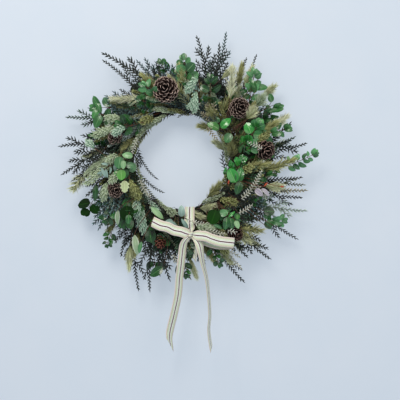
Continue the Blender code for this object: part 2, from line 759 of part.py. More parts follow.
def make_ribbon():
    """One ribbon: a band round the wreath, two loops, a knot and two tails, joined at the knot."""
    strips = bpy.data.collections.new("ribbon strips")
    bpy.context.scene.collection.children.link(strips)
    band = smooth(placed(BAND), 2 * len(BAND) - 1)
    left, right = smooth(placed(LEFT_LOOP), 15), smooth(placed(RIGHT_LOOP), 15)
    left_tail, right_tail = smooth(placed(LEFT_TAIL), 13), smooth(placed(RIGHT_TAIL), 14)
    turned = []
    for i, way in enumerate(flat_ways(right_tail)):
        share = min(1.0, max(0.0, (i / 13 - 0.22) / 0.3))
        turned.append(Matrix.Rotation(math.radians(RIGHT_TAIL_TURN_DEG * share), 3, UP) @ way)
    across = Vector((1, 0, 0))
    for name, points, ways in (
        ("band", band, [across] * len(band)),
        ("left loop", left, loop_ways(left)),
        ("right loop", right, loop_ways(right)),
        ("left tail", left_tail, flat_ways(left_tail)),
        ("right tail", right_tail, turned),
    ):
        strips.objects.link(strip(name, points, ways))
    knot_mesh = bpy.data.meshes.new("ribbon")
    bm = bmesh.new()
    bmesh.ops.create_cube(bm, size=1, matrix=Matrix.Diagonal((19 * MM, 15 * MM, 24 * MM, 1)))
    bmesh.ops.bevel(bm, geom=bm.edges[:], offset=4 * MM, segments=1, affect="EDGES", profile=0.5)
    bmesh.ops.translate(bm, verts=bm.verts, vec=placed([KNOT])[0])
    bm.to_mesh(knot_mesh)
    bm.free()
    knot = bpy.data.objects.new("ribbon", knot_mesh)
    knot_mesh.materials.append(RIBBON)
    WREATH.objects.link(knot)
    union = knot.modifiers.new("Tied", "BOOLEAN")
    union.operation = "UNION"
    union.operand_type = "COLLECTION"
    union.collection = strips
    union.solver = "EXACT"
    bpy.context.view_layer.update()
    graph = bpy.context.evaluated_depsgraph_get()
    joined = bpy.data.meshes.new_from_object(knot.evaluated_get(graph))
    knot.modifiers.clear()
    knot.data = joined
    joined.name = "ribbon"
    for obj in list(strips.objects):
        bpy.data.objects.remove(obj)
    bpy.data.collections.remove(strips)
    return knot


for old in list(bpy.data.objects):
    bpy.data.objects.remove(old)
WREATH = bpy.data.collections.new("pine_cone_wreath")
bpy.context.scene.collection.children.link(WREATH)

BARK = material("vine bark", (0.16, 0.10, 0.06), 0.85)
WIRE = material("green wire", (0.05, 0.09, 0.05), 0.4, 0.6)
NEEDLE = material("dark needles", (0.05, 0.10, 0.06), 0.6)
LEAF = material("oval leaves", (0.09, 0.24, 0.10), 0.4)
PLUME = material("pale plumes", (0.36, 0.40, 0.20), 0.8)
SCALE = material("pale scale leaves", (0.38, 0.47, 0.34), 0.7)
CONE = material("cone scales", (0.17, 0.08, 0.05), 0.6)
RIBBON = material("striped ribbon", (0.75, 0.74, 0.60), 0.8)


def main():
    obstacles = Obstacles()
    for number in range(1, VINE_COUNT + 1):
        obstacles.add(make_vine(number))
    obstacles.add(make_wire())
    obstacles.add(make_ribbon())
    for name, turn, side, bend_mm, place, diameter_mm, length_mm, axis in CONES:
        base, pointing = cone_stand(place, length_mm, axis)
        route, tuck = stem_route(turn, side, bend_mm, base, -pointing)
        bm = bmesh.new()
        build_cone(bm, route, tuck, diameter_mm * MM, length_mm * MM, pointing)
        finish(name, bm, CONE, obstacles)
    kinds = (
        (build_needle_spray, NEEDLE, NEEDLE_SPRAYS),
        (build_leaf_spray, LEAF, LEAF_SPRAYS),
        (build_plume, PLUME, PLUMES),
        (build_scale_spray, SCALE, SCALE_SPRAYS),
    )
    for build, surface, rows in kinds:
        for name, turn, side, bend_mm, tip_hour, radius_mm, height_mm, *sizes in rows:
            tip, arrive_from = aim_at(turn, side, tip_hour, radius_mm, height_mm)
            route, tuck = stem_route(turn, side, bend_mm, tip, arrive_from)
            bm = bmesh.new()
            build(bm, obstacles, route, tuck, *sizes)
            finish(name, bm, surface, obstacles)


main()
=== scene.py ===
import json
import math
import random

import bmesh
import bpy
from mathutils import Matrix, Vector, noise

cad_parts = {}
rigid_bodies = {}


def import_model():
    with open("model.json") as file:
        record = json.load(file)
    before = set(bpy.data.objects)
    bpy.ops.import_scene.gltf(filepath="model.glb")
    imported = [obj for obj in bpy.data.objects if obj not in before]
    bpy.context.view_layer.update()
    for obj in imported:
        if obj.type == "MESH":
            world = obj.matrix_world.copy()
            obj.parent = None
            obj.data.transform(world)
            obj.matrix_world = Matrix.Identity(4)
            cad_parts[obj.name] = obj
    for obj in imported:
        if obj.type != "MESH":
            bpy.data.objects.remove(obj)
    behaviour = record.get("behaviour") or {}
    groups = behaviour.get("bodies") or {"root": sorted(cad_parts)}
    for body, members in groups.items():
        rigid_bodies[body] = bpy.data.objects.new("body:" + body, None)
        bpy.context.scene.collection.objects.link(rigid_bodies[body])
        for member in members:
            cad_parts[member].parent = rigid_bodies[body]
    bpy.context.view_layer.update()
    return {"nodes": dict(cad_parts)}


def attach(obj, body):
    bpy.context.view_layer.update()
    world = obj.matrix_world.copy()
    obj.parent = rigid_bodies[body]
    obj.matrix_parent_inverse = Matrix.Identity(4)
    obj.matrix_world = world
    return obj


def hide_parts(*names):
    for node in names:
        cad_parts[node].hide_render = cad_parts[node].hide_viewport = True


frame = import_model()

mm = 0.001
front = Vector((0, -1, 0))
up = Vector((0, 0, 1))
right = Vector((1, 0, 0))
scene = bpy.context.scene
print("frame loaded:", len(frame["nodes"]), "nodes")

# The hoop that everything is bound to. Stems lie under a turn of the wire for `tuck` of a turn.
hoop = {"radius": 134 * mm, "bundle": 11.8 * mm, "wireTurns": 18, "seat": 13 * mm, "faceSeat": 12.7 * mm,
        "tuck": 0.84, "vines": 3, "vineRadius": 5.2 * mm, "vineOffset": 6.6 * mm, "vineTurns": 6,
        "wireRadius": 0.5 * mm, "wireOffset": 16.6 * mm}
centre = Vector((0, 0, hoop["bundle"] - hoop["radius"]))
turnDeg = 360 / hoop["wireTurns"]
edge, frontEdge, high, face, low, inner = 0, 30, 60, 90, 120, 150  # ways round the hoop's section


def around(hour, radius, height=0.0):
    angle = math.radians(hour)
    return centre + Vector((radius * math.sin(angle), -height, radius * math.cos(angle)))


def atPlace(x, above, height):  # millimetres right of, above and in front of the hoop's centre
    return centre + Vector((x * mm, -height * mm, above * mm))


def sideNormal(hour, side):
    angle, turned = math.radians(hour), math.radians(side)
    outwards = Vector((math.sin(angle), 0, math.cos(angle)))
    return outwards * math.cos(turned) + front * math.sin(turned)


def onHoop(hour, side, height):
    return around(hour, hoop["radius"]) + sideNormal(hour, side) * height


def onFace(first, last, height, rootHour):  # both ends of a twig over the hoop's front, and its root
    return atPlace(*first, height), atPlace(*last, height - 4), onHoop(rootHour, face, hoop["seat"])


def steps(first, last, count):
    return [first + (last - first) * i / max(count - 1, 1) for i in range(count)]


def curved(start, leave, arrive, end, count=14):
    points = []
    for t in steps(0, 1, count):
        u = 1 - t
        points.append(start * u**3 + leave * (3 * u * u * t) + arrive * (3 * u * t * t) + end * t**3)
    return points


def smoothed(points, count):  # a smooth curve through every point
    ends = [points[0] * 2 - points[1], *points, points[-1] * 2 - points[-2]]
    made = []
    for t in steps(0, len(points) - 1 - 1e-9, count):
        i = int(t)
        u = t - i
        a, b, c, d = ends[i:i + 4]
        made.append((b * 2 + (c - a) * u + (a * 2 - b * 5 + c * 4 - d) * u * u
                     + (b * 3 - a - c * 3 + d) * u**3) / 2)
    return made


class Path:  # a line of points, read by the distance along it
    def __init__(self, points, tuck=0.0):
        self.points = points
        self.tuck = tuck  # the length that lies on the hoop
        self.marks = [0.0]
        for a, b in zip(points, points[1:]):
            self.marks.append(self.marks[-1] + (b - a).length)
        self.length = self.marks[-1]

    def at(self, distance):
        distance = min(max(distance, 0.0), self.length)
        i = 0
        while i < len(self.marks) - 2 and self.marks[i + 1] < distance:
            i += 1
        share = (distance - self.marks[i]) / max(self.marks[i + 1] - self.marks[i], 1e-9)
        return self.points[i].lerp(self.points[i + 1], share)

    def heading(self, distance):
        reach = 2 * mm
        return (self.at(distance + reach) - self.at(distance - reach)).normalized()

    def frame(self, distance):  # heading, the side to its right, the way that faces the front
        along = self.heading(distance)
        across = along.cross(front)
        if across.length < 0.2:
            across = along.cross(up)
        across.normalize()
        return along, across, across.cross(along)

    def spread(self, count):  # so many points, evenly spaced along it
        return [self.at(distance) for distance in steps(0, self.length, count)]


def rootOf(turn, side):  # the hour at which a stem leaves the hoop, next to a turn of the wire
    return (turn + 0.5 + side / 360) * turnDeg


# how much a stem rises off the hoop, sweeps back round it, bends forward early and runs straight at its end,
# and where its tip points away from, in shares of the tip's radius and of the hoop's
stemPlan = {"rise": 0.22, "sweep": 0.16, "bent": 0.6, "straight": 0.35, "outerAim": (0.62, 0.2),
            "innerAim": (0.45, 0.53)}


def stemPath(rootHour, side, bend, tip, arriveFrom):
    height = hoop["faceSeat"] if side == face else hoop["seat"]
    lying = [onHoop(hour, side, height) for hour in steps(rootHour + hoop["tuck"] * turnDeg, rootHour, 4)]
    span = (tip - lying[-1]).length
    forward = front * bend * mm
    angle = math.radians(rootHour)
    backRound = Vector((-math.cos(angle), 0, math.sin(angle)))
    rise = sideNormal(rootHour, side) * stemPlan["rise"] + backRound * stemPlan["sweep"]
    leave = lying[-1] + rise * span + forward * stemPlan["bent"]
    arrive = tip + arriveFrom * span * stemPlan["straight"] + forward
    return Path([*lying, *curved(lying[-1], leave, arrive, tip)[1:]], Path(lying).length)


def sprayPath(rootHour, side, bend, tipHour, radius, height):
    tip = around(tipHour, radius * mm, height * mm)
    halfway = tipHour + ((rootHour - tipHour + 180) % 360 - 180) / 2
    ownShare, hoopShare = stemPlan["outerAim" if side < low else "innerAim"]
    inside = around(halfway, ownShare * radius * mm + hoopShare * hoop["radius"], height * mm)
    return stemPath(rootHour, side, bend, tip, (inside - tip).normalized())


# Surfaces

def rgb(code):  # a screen colour as linear light
    parts = [int(code[i:i + 2], 16) / 255 for i in (0, 2, 4)]
    return [p / 12.92 if p <= 0.04045 else ((p + 0.055) / 1.055) ** 2.4 for p in parts] + [1.0]


def addNode(tree, kind, **values):
    made = tree.nodes.new(kind)
    for key, value in values.items():
        setattr(made, key, value)
    return made


def feed(tree, value, socket):  # a number, a colour code or what another node puts out
    if isinstance(value, str):
        socket.default_value = rgb(value)
    elif isinstance(value, (int, float)):
        socket.default_value = value
    else:
        tree.links.new(value, socket)


def attribute(tree, name):
    return addNode(tree, "ShaderNodeAttribute", attribute_name=name).outputs["Fac"]


def ramp(tree, factor, stops, ease="LINEAR"):
    made = addNode(tree, "ShaderNodeValToRGB")
    made.color_ramp.interpolation = ease
    while len(made.color_ramp.elements) < len(stops):
        made.color_ramp.elements.new(0.5)
    for element, (position, code) in zip(made.color_ramp.elements, stops):
        element.position = position
        element.color = rgb(code)
    tree.links.new(factor, made.inputs["Fac"])
    return made.outputs["Color"]


def sums(tree, operation, *values):
    made = addNode(tree, "ShaderNodeMath", operation=operation)
    for socket, value in zip(made.inputs, values):
        feed(tree, value, socket)
    return made.outputs[0]


def scaled(tree, value, factor, offset=0.0):
    grown = sums(tree, "MULTIPLY", value, factor)
    return sums(tree, "ADD", grown, offset) if offset else grown


def mixed(tree, factor, first, second):
    made = addNode(tree, "ShaderNodeMix", data_type="RGBA")
    for number, value in ((0, factor), (6, first), (7, second)):
        feed(tree, value, made.inputs[number])
    return made.outputs[2]


def toned(tree, value, colour):  # the colour made darker or lighter
    made = addNode(tree, "ShaderNodeHueSaturation")
    tree.links.new(value, made.inputs["Value"])
    tree.links.new(colour, made.inputs["Color"])
    return made.outputs["Color"]


def noisy(tree, scale, detail=3.0, stretch=(1, 1, 1)):
    where = addNode(tree, "ShaderNodeTexCoord").outputs["Object"]
    mapping = addNode(tree, "ShaderNodeMapping")
    mapping.inputs["Scale"].default_value = stretch
    tree.links.new(where, mapping.inputs["Vector"])
    made = addNode(tree, "ShaderNodeTexNoise")
    made.inputs["Scale"].default_value = scale
    made.inputs["Detail"].default_value = detail
    tree.links.new(mapping.outputs["Vector"], made.inputs["Vector"])
    return made.outputs["Fac"]


def newGroup(name, inputs, outputs):
    group = bpy.data.node_groups.new(name, "ShaderNodeTree")
    for label, default in inputs:
        socket = group.interface.new_socket(label, in_out="INPUT", socket_type="NodeSocketFloat")
        socket.default_value = default
    for label in outputs:
        group.interface.new_socket(label, in_out="OUTPUT", socket_type="NodeSocketFloat")
    return group, addNode(group, "NodeGroupInput"), addNode(group, "NodeGroupOutput")


def buildVeins():  # a midrib and slanting side veins from a leaf's own coordinates
    group, given, result = newGroup("leafVeins", [("Veins", 7.0), ("Rib Width", 0.07)], ["Rib", "Side Veins"])
    across = sums(group, "ABSOLUTE", attribute(group, "across"))
    rib = sums(group, "SUBTRACT", 1.0, sums(group, "DIVIDE", across, given.outputs["Rib Width"]))
    slanted = sums(group, "SUBTRACT", attribute(group, "along"), scaled(group, across, 0.28))
    turns = scaled(group, given.outputs["Veins"], 6.283)
    wave = sums(group, "ABSOLUTE", sums(group, "SINE", sums(group, "MULTIPLY", slanted, turns)))
    group.links.new(sums(group, "MAXIMUM", rib, 0.0), result.inputs["Rib"])
    group.links.new(scaled(group, sums(group, "POWER", wave, 6.0), 0.7), result.inputs["Side Veins"])
    return group


def buildMottle():  # blotches mixed with the copy's own shade, and fine grain, each about 0 to 1
    group, given, result = newGroup("growthMottle", [("Shade Share", 0.5)], ["Tone", "Grain"])
    share = given.outputs["Shade Share"]
    blotch = sums(group, "MULTIPLY", noisy(group, 70, 2), sums(group, "SUBTRACT", 1.0, share))
    own = sums(group, "MULTIPLY", attribute(group, "shade"), share)
    group.links.new(sums(group, "ADD", own, blotch), result.inputs["Tone"])
    group.links.new(noisy(group, 420, 2), result.inputs["Grain"])
    return group


def placedGroup(tree, group, **values):
    made = addNode(tree, "ShaderNodeGroup", node_tree=group)
    for key, value in values.items():
        made.inputs[key].default_value = value
    return made.outputs


def newSurface(name, roughness, coat=0.0, sheen=0.0):
    surface = bpy.data.materials.new(name)
    surface.use_nodes = True
    shader = surface.node_tree.nodes["Principled BSDF"]
    shader.inputs["Roughness"].default_value = roughness
    shader.inputs["Coat Weight"].default_value = coat
    shader.inputs["Sheen Weight"].default_value = sheen
    return surface, surface.node_tree, shader


def dressed(tree, shader, colour, rough, height, strength, depth):
    bump = addNode(tree, "ShaderNodeBump")
    bump.inputs["Strength"].default_value = strength
    bump.inputs["Distance"].default_value = depth
    for value, socket in ((colour, shader.inputs["Base Color"]), (rough, shader.inputs["Roughness"]),
                          (height, bump.inputs["Height"]), (bump.outputs["Normal"], shader.inputs["Normal"])):
        feed(tree, value, socket)


veinGroup, mottleGroup = buildVeins(), buildMottle()


leafFinish = {"ownShade": 0.72, "sideVeins": 0.22, "rib": 0.75, "margin": 0.8, "grain": 0.3, "bump": 0.45,
              "bumpDepth": 0.5 * mm}


def leafSurface(name, dark, light, rib, under, roughness, coat=0.0, veinCount=7.0, margin=None, shine=0.5):
    surface, tree, shader = newSurface(name, roughness, coat)
    shader.inputs["Specular IOR Level"].default_value = shine
    mottle = placedGroup(tree, mottleGroup, **{"Shade Share": leafFinish["ownShade"]})
    veins = placedGroup(tree, veinGroup, Veins=veinCount)
    colour = ramp(tree, mottle["Tone"], [(0.12, dark), (0.88, light)])
    colour = toned(tree, scaled(tree, attribute(tree, "along"), 0.5, 0.7), colour)
    colour = mixed(tree, scaled(tree, veins["Side Veins"], leafFinish["sideVeins"]), colour, rib)
    colour = mixed(tree, scaled(tree, veins["Rib"], leafFinish["rib"]), colour, rib)
    if margin:
        border = sums(tree, "POWER", sums(tree, "ABSOLUTE", attribute(tree, "across")), 4.0)
        colour = mixed(tree, scaled(tree, border, leafFinish["margin"]), colour, margin)
    colour = mixed(tree, attribute(tree, "under"), colour, under)
    ridges = sums(tree, "ADD", veins["Rib"], scaled(tree, veins["Side Veins"], 0.5))
    height = sums(tree, "SUBTRACT", scaled(tree, mottle["Grain"], leafFinish["grain"]), ridges)
    rough = scaled(tree, mottle["Grain"], 0.22, roughness - 0.11)
    dressed(tree, shader, colour, rough, height, leafFinish["bump"], leafFinish["bumpDepth"])
    return surface


def needleSurface(name, base, body, tip, roughness=0.6, sheen=0.0, swing=0.35):
    surface, tree, shader = newSurface(name, roughness, 0.0, sheen)
    mottle = placedGroup(tree, mottleGroup)
    lengthwise = ramp(tree, attribute(tree, "along"), [(0.0, base), (0.45, body), (1.0, tip)])
    colour = toned(tree, scaled(tree, mottle["Tone"], 2 * swing, 1 - swing), lengthwise)
    rough = scaled(tree, mottle["Grain"], 0.2, roughness - 0.1)
    dressed(tree, shader, colour, rough, mottle["Grain"], 0.3, 0.3 * mm)
    return surface


def barkSurface(name, dark, light, scale):
    surface, tree, shader = newSurface(name, 0.85)
    streaks = noisy(tree, scale, 5, (1, 0.35, 1))
    colour = ramp(tree, streaks, [(0.32, dark), (0.7, light)])
    dressed(tree, shader, colour, scaled(tree, streaks, 0.2, 0.75), streaks, 0.6, 0.6 * mm)
    return surface


# colour along each scale: a near-black heart, partly the scale's own dark brown and partly painted shade deep
# between the scales; a dark brown body; and a very pale lip at the tip, partly the scale's paler edge and
# partly a painted highlight on its rim
def coneSurface(name, heart, body, lip):
    surface, tree, shader = newSurface(name, 0.62)
    grain = noisy(tree, 300, 4)
    strayed = scaled(tree, sums(tree, "SUBTRACT", grain, 0.5), 0.12)
    along = sums(tree, "ADD", attribute(tree, "along"), strayed)
    colour = ramp(tree, along, [(0.5, heart), (0.86, body), (0.94, body), (0.99, lip)])
    colour = mixed(tree, scaled(tree, attribute(tree, "shade"), 0.5), colour, body)
    dressed(tree, shader, colour, scaled(tree, grain, 0.3, 0.45), grain, 0.5, 0.5 * mm)
    return surface


def speckledSurface(name, scale, stops, roughness):
    surface, tree, shader = newSurface(name, roughness)
    tree.links.new(ramp(tree, noisy(tree, scale, 3), stops), shader.inputs["Base Color"])
    return surface, tree, shader


def budSurface():
    surface, tree, shader = newSurface("budSkin", 0.4, 0.3)
    colour = ramp(tree, noisy(tree, 260, 3), [(0.3, "8a2410"), (0.7, "cc5a26")])
    dressed(tree, shader, colour, 0.4, noisy(tree, 500, 2), 0.3, 0.3 * mm)
    return surface


surfaces = {
    "twig": barkSurface("twigBark", "2a1c14", "6b4a33", 260),
    "redTwig": barkSurface("redTwigBark", "3c1c12", "8a4c30", 260),
    "darkTwig": barkSurface("darkTwigBark", "11120c", "2f2b20", 260),
    "greyTwig": barkSurface("greyTwigBark", "4c5148", "8f978a", 260),
    "paleTwig": barkSurface("paleTwigBark", "8a8873", "d0cebc", 260),
    "vine": barkSurface("vineBark", "17110c", "43342a", 120),
    "core": barkSurface("coneCore", "120907", "2a1710", 300),
    "dark": needleSurface("darkNeedles", "0a0e0a", "18231b", "35483c"),
    "blue": needleSurface("blueNeedles", "14201f", "35504f", "7d9c9e"),
    "pale": needleSurface("paleNeedles", "5a6a60", "9db0a4", "dde6e0"),
    "tan": needleSurface("tanNeedles", "3a3626", "8a8468", "c9c4ab"),
    "white": needleSurface("whiteNeedles", "6a6a58", "cfd2c4", "f4f4ec"),
    "cream": needleSurface("creamNeedles", "33291a", "857b58", "ede5cf"),
    "olive": needleSurface("oliveNeedles", "1d200d", "4f5728", "a2a76c"),
    "green": needleSurface("greenNeedles", "0c190d", "25452b", "5c8260"),
    "plume": needleSurface("plumeHairs", "474a20", "8e9050", "d2d49b", 0.75, 0.2, 0.55),
    "plumePale": needleSurface("paleHairs", "66703f", "b3b988", "e9edcb", 0.75, 0.2, 0.5),
    "plumeCream": needleSurface("creamHairs", "9a9f78", "d3d6b0", "f4f6e2", 0.75, 0.2, 0.4),
    "sprigSage": needleSurface("sageFingers", "566444", "93a681", "d6e2c6", 0.7, 0.0, 0.3),
    "sprigMint": needleSurface("mintFingers", "46644f", "86a88f", "e2f2dc", 0.7, 0.0, 0.3),
    "sprigOlive": needleSurface("oliveFingers", "2d3018", "73793f", "b9bd84", 0.7, 0.0, 0.35),
    "sprigDusty": needleSurface("dustyFingers", "32403a", "82968c", "d4e0da", 0.7, 0.0, 0.35),
    "mid": leafSurface("midLeaves", "174a26", "569a5d", "a2d098", "7ea88c", 0.34, 0.15),
    # near-black leaves set at the back of the wreath: painted shade between the sprays
    "shadow": leafSurface("backLeaves", "0a160b", "182c15", "25391f", "202f22", 0.5, shine=0.2),
    "deep": leafSurface("deepLeaves", "0a270f", "235f25", "57a04c", "4c7a58", 0.26, 0.35),
    "night": leafSurface("nightLeaves", "041c03", "123a08", "2a5c18", "26452b", 0.5, shine=0.12),
    "gloss": leafSurface("glossyLeaves", "0b4218", "2a9434", "8ad676", "54a064", 0.17, 0.6),
    "fresh": leafSurface("freshLeaves", "246a1e", "589c40", "a6d088", "76a866", 0.32, 0.25),
    "light": leafSurface("lightLeaves", "6a9c64", "a6cf98", "d8eecb", "9cc494", 0.38, 0.2),
    "leaf": leafSurface("plainLeaves", "103a1a", "3d7f3f", "7fb873", "6c9876", 0.3, 0.25),
    "grey": leafSurface("greyLeaves", "5c7d74", "8daba0", "b9cfc6", "a9beb6", 0.55, 0.1),
    "mint": leafSurface("mintLeaves", "6c8a66", "a2bc92", "d8e6c8", "98ae8c", 0.65, 0.0, 5.0, "e9f0df"),
    "sage": leafSurface("sageLeaves", "7d9160", "b3c28e", "dee6c4", "a3b182", 0.6, 0.05, 6.0, "d3dfb8"),
    "pink": leafSurface("pinkLeaf", "8f8796", "d6d0d8", "f6f4f4", "b7abb1", 0.5, 0.0, 3.0, "f2eeee"),
    # each cone's near-black heart is partly painted shade between its scales, and its pale lip is partly a
    # painted rim highlight
    "cone": coneSurface("coneScales", "0b0504", "26130d", "ecd0c0"),
    "coneRed": coneSurface("redConeScales", "140705", "4a2016", "b3705a"),
    "coneDeep": coneSurface("deepConeScales", "080404", "1f100c", "c4a597"),
    "coneDark": coneSurface("darkConeScales", "0e0605", "2e1610", "a98478"),
    "bud": budSurface(),
}
print("surfaces ready:", len(surfaces))


# Small shapes, one unit long along +Y, which the sprays hold many copies of

def meshOf(bm, name):
    mesh = bpy.data.meshes.new(name)
    bm.to_mesh(mesh)
    bm.free()
    return mesh


def gridOf(bm, columns, rows):  # each point with its place across, -1 to 1, and along, 0 to 1
    bmesh.ops.create_grid(bm, x_segments=columns, y_segments=rows, size=0.5)
    widest = max(v.co.x for v in bm.verts)
    longest = max(v.co.y for v in bm.verts)
    return [(v, v.co.x / widest, (v.co.y / longest + 1) / 2) for v in bm.verts]


def lowerSide(bm):  # a second side below the first, joined to it round the rim
    grown = bmesh.ops.extrude_face_region(bm, geom=bm.faces[:], use_keep_orig=True)["geom"]
    return {v for v in grown if isinstance(v, bmesh.types.BMVert)}


def pulledBlade(stations, sides):
    # a closed blade: rings of (along, rise, half width, half depth) pulled one from another
    bm = bmesh.new()
    share = bm.verts.layers.float.new("along")
    bmesh.ops.create_circle(bm, cap_ends=True, segments=sides, radius=1)
    bm.faces.ensure_lookup_table()
    cap = bm.faces[0]
    for number, (along, rise, wide, deep) in enumerate(stations):
        if number:
            cap = bmesh.ops.extrude_discrete_faces(bm, faces=[cap])["faces"][0]
        for i, vert in enumerate(cap.verts):
            angle = 2 * math.pi * i / sides
            vert.co = (wide * math.cos(angle), along, rise + deep * math.sin(angle))
            vert[share] = along
    tip = bmesh.ops.poke(bm, faces=[cap])["verts"][0]
    tip.co = (0, 1, stations[-1][1])
    tip[share] = 1.0
    bmesh.ops.holes_fill(bm, edges=[e for e in bm.edges if e.is_boundary])
    bmesh.ops.recalc_face_normals(bm, faces=bm.faces)
    return bm


def leafBlade(plan):
    # a thin closed leaf from a grid: outline first, then its thickness, then its bend
    bm = bmesh.new()
    across, along, under = [bm.verts.layers.float.new(name) for name in ("across", "along", "under")]
    for vert, u, t in gridOf(bm, plan["columns"], plan["rows"]):
        skewed = t ** plan["skew"]
        outline = max(4 * skewed * (1 - skewed), 0.0) ** plan["blunt"]
        outline *= 1 + plan["lobes"] * math.cos(t * plan["lobeCount"] * 2 * math.pi)
        vert[across], vert[along] = u, t
        vert.co = (u * plan["wide"] * max(outline, 0.05) / 2, t - 0.1 * plan["lobes"] * abs(u), 0)
    for vert in lowerSide(bm):
        vert.co.z -= plan["thick"]
        vert[under] = 1.0
    for vert in bm.verts:
        u, t = vert[across], vert[along]
        cupped = plan["fold"] * abs(u) ** 1.4 * math.sin(math.pi * min(t + 0.1, 1))
        waved = plan["wave"] * math.sin(t * 14 + (2 if u > 0 else 0)) * abs(u) ** 2
        vert.co.z += cupped + waved - plan["curl"] * t * t + plan["arch"] * math.sin(math.pi * t)
    bmesh.ops.recalc_face_normals(bm, faces=bm.faces)
    return bm


def coneScale():
    # a woody scale: narrow at the core, a fan with a thick rounded lip
    bm = bmesh.new()
    share = bm.verts.layers.float.new("along")
    for vert, u, t in gridOf(bm, 4, 6):
        wide = 0.16 + 0.38 * min(t / 0.75, 1) ** 1.2 - 0.1 * max(0.0, (t - 0.75) / 0.25) ** 2.4
        vert[share] = t
        vert.co = (u * wide, t * (1 - 0.17 * u * u * t), 0)
    below = lowerSide(bm)
    for vert in bm.verts:
        t, u = vert[share], vert.co.x / 0.4
        lip = math.exp(-((t - 0.86) / 0.13) ** 2)
        thick = 0.03 + 0.055 * lip
        bend = 0.16 * t * t - 0.02 * (1 - u * u)
        vert.co.z = bend + (-thick if vert in below else 0.4 * thick * lip)
    bmesh.ops.recalc_face_normals(bm, faces=bm.faces)
    return bm


plainLeaf = {"columns": 4, "rows": 7, "thick": 0.018, "lobes": 0, "lobeCount": 0, "wave": 0, "arch": 0}
leafPlans = {
    "round": {"wide": 0.86, "skew": 0.85, "blunt": 0.5, "fold": 0.07, "curl": 0.14},
    "oval": {"wide": 0.62, "skew": 0.82, "blunt": 0.58, "fold": 0.08, "curl": 0.22, "arch": 0.06},
    "cupped": {"wide": 0.72, "skew": 0.9, "blunt": 0.55, "fold": 0.16, "curl": 0.02, "arch": -0.06},
    "lance": {"wide": 0.34, "skew": 0.95, "blunt": 0.72, "fold": 0.06, "curl": 0.3, "arch": 0.08},
    "ruffled": {"wide": 0.7, "skew": 0.9, "blunt": 0.55, "fold": 0.1, "curl": 0.2, "wave": 0.07, "rows": 10},
    "lobed": {"wide": 0.7, "skew": 0.8, "blunt": 0.6, "fold": 0.08, "curl": 0.18, "lobes": 0.24,
              "lobeCount": 3.5, "rows": 12, "thick": 0.02},
}
# rings, and sides
needlePlans = {
    "needle": ([(0.0, 0, 0.45, 0.45), (0.3, 0.02, 0.5, 0.45), (0.7, 0.05, 0.3, 0.3)], 4),
    "scalelet": ([(0.0, 0, 0.3, 0.4), (0.6, 0.03, 0.5, 0.5)], 4),
    "spike": ([(0.0, 0, 0.5, 0.5)], 4),
    "hair": ([(0.0, 0, 0.5, 0.5)], 3),
    "finger": ([(0.0, 0, 0.3, 0.3), (0.35, 0.03, 0.5, 0.5), (0.78, 0.03, 0.42, 0.4)], 5),
    "bud": ([(0.0, 0, 0.2, 0.2), (0.3, 0, 0.5, 0.5), (0.7, 0, 0.42, 0.42)], 8),
}
sharpDeg = 55  # edges of small shapes sharper than this stay crisp
shapeBox = bpy.data.collections.new("smallShapes")
shapeNumbers = {}


def shapeNumber(kind):  # "outline.surface", made the first time that a spray asks for it
    if kind not in shapeNumbers:
        outline, surface = kind.split(".")
        if outline in leafPlans:
            bm = leafBlade({**plainLeaf, **leafPlans[outline]})
        elif outline == "scale":
            bm = coneScale()
        else:
            bm = pulledBlade(*needlePlans[outline])
        mesh = meshOf(bm, kind)
        mesh.materials.append(surfaces[surface])
        mesh.shade_smooth()
        mesh.set_sharp_from_angle(angle=math.radians(sharpDeg))
        shapeNumbers[kind] = len(shapeNumbers)
        shapeBox.objects.link(bpy.data.objects.new(f"shape{shapeNumbers[kind]:03d}", mesh))
    return shapeNumbers[kind]


# what each copy of a small shape carries: name, type, field, and its column in the draft's list
copyFields = [("kind", "INT", "value", 0), ("turn", "FLOAT_VECTOR", "vector", 2),
              ("size", "FLOAT_VECTOR", "vector", 3), ("shade", "FLOAT", "value", 4)]


def buildPlacing():
    # puts a small shape on every point, turned and sized as the point says, and makes them real
    group = bpy.data.node_groups.new("placeSmallShapes", "GeometryNodeTree")
    group.interface.new_socket("Geometry", in_out="INPUT", socket_type="NodeSocketGeometry")
    group.interface.new_socket("Geometry", in_out="OUTPUT", socket_type="NodeSocketGeometry")
    given, result = addNode(group, "NodeGroupInput"), addNode(group, "NodeGroupOutput")
    shapes = addNode(group, "GeometryNodeCollectionInfo")
    shapes.inputs["Collection"].default_value = shapeBox
    shapes.inputs["Separate Children"].default_value = True
    shapes.inputs["Reset Children"].default_value = True
    place = addNode(group, "GeometryNodeInstanceOnPoints")
    place.inputs["Pick Instance"].default_value = True
    group.links.new(given.outputs[0], place.inputs["Points"])
    group.links.new(shapes.outputs[0], place.inputs["Instance"])
    for (name, kind, _, _), socket in zip(copyFields, ("Instance Index", "Rotation", "Scale")):
        read = addNode(group, "GeometryNodeInputNamedAttribute", data_type=kind)
        read.inputs["Name"].default_value = name
        group.links.new(read.outputs["Attribute"], place.inputs[socket])
    real = addNode(group, "GeometryNodeRealizeInstances")
    group.links.new(place.outputs[0], real.inputs[0])
    group.links.new(real.outputs[0], result.inputs[0])
    return group


placingGroup = buildPlacing()


def evaluated(obj):  # the object's finished mesh, as a mesh object of its own
    scene.collection.objects.link(obj)
    bpy.context.view_layer.update()
    graph = bpy.context.evaluated_depsgraph_get()
    mesh = bpy.data.meshes.new_from_object(obj.evaluated_get(graph))
    bpy.data.objects.remove(obj)
    made = bpy.data.objects.new(mesh.name, mesh)
    scene.collection.objects.link(made)
    return made


def joined(parts, name):
    kept = parts[0]
    if len(parts) > 1:
        with bpy.context.temp_override(active_object=kept, object=kept, selected_objects=parts,
                                       selected_editable_objects=parts):
            bpy.ops.object.join()
    kept.name = name
    kept.data.name = name
    return kept


def handOver(piece, node=None):
    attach(piece, "root")
    if node:
        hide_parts(node)


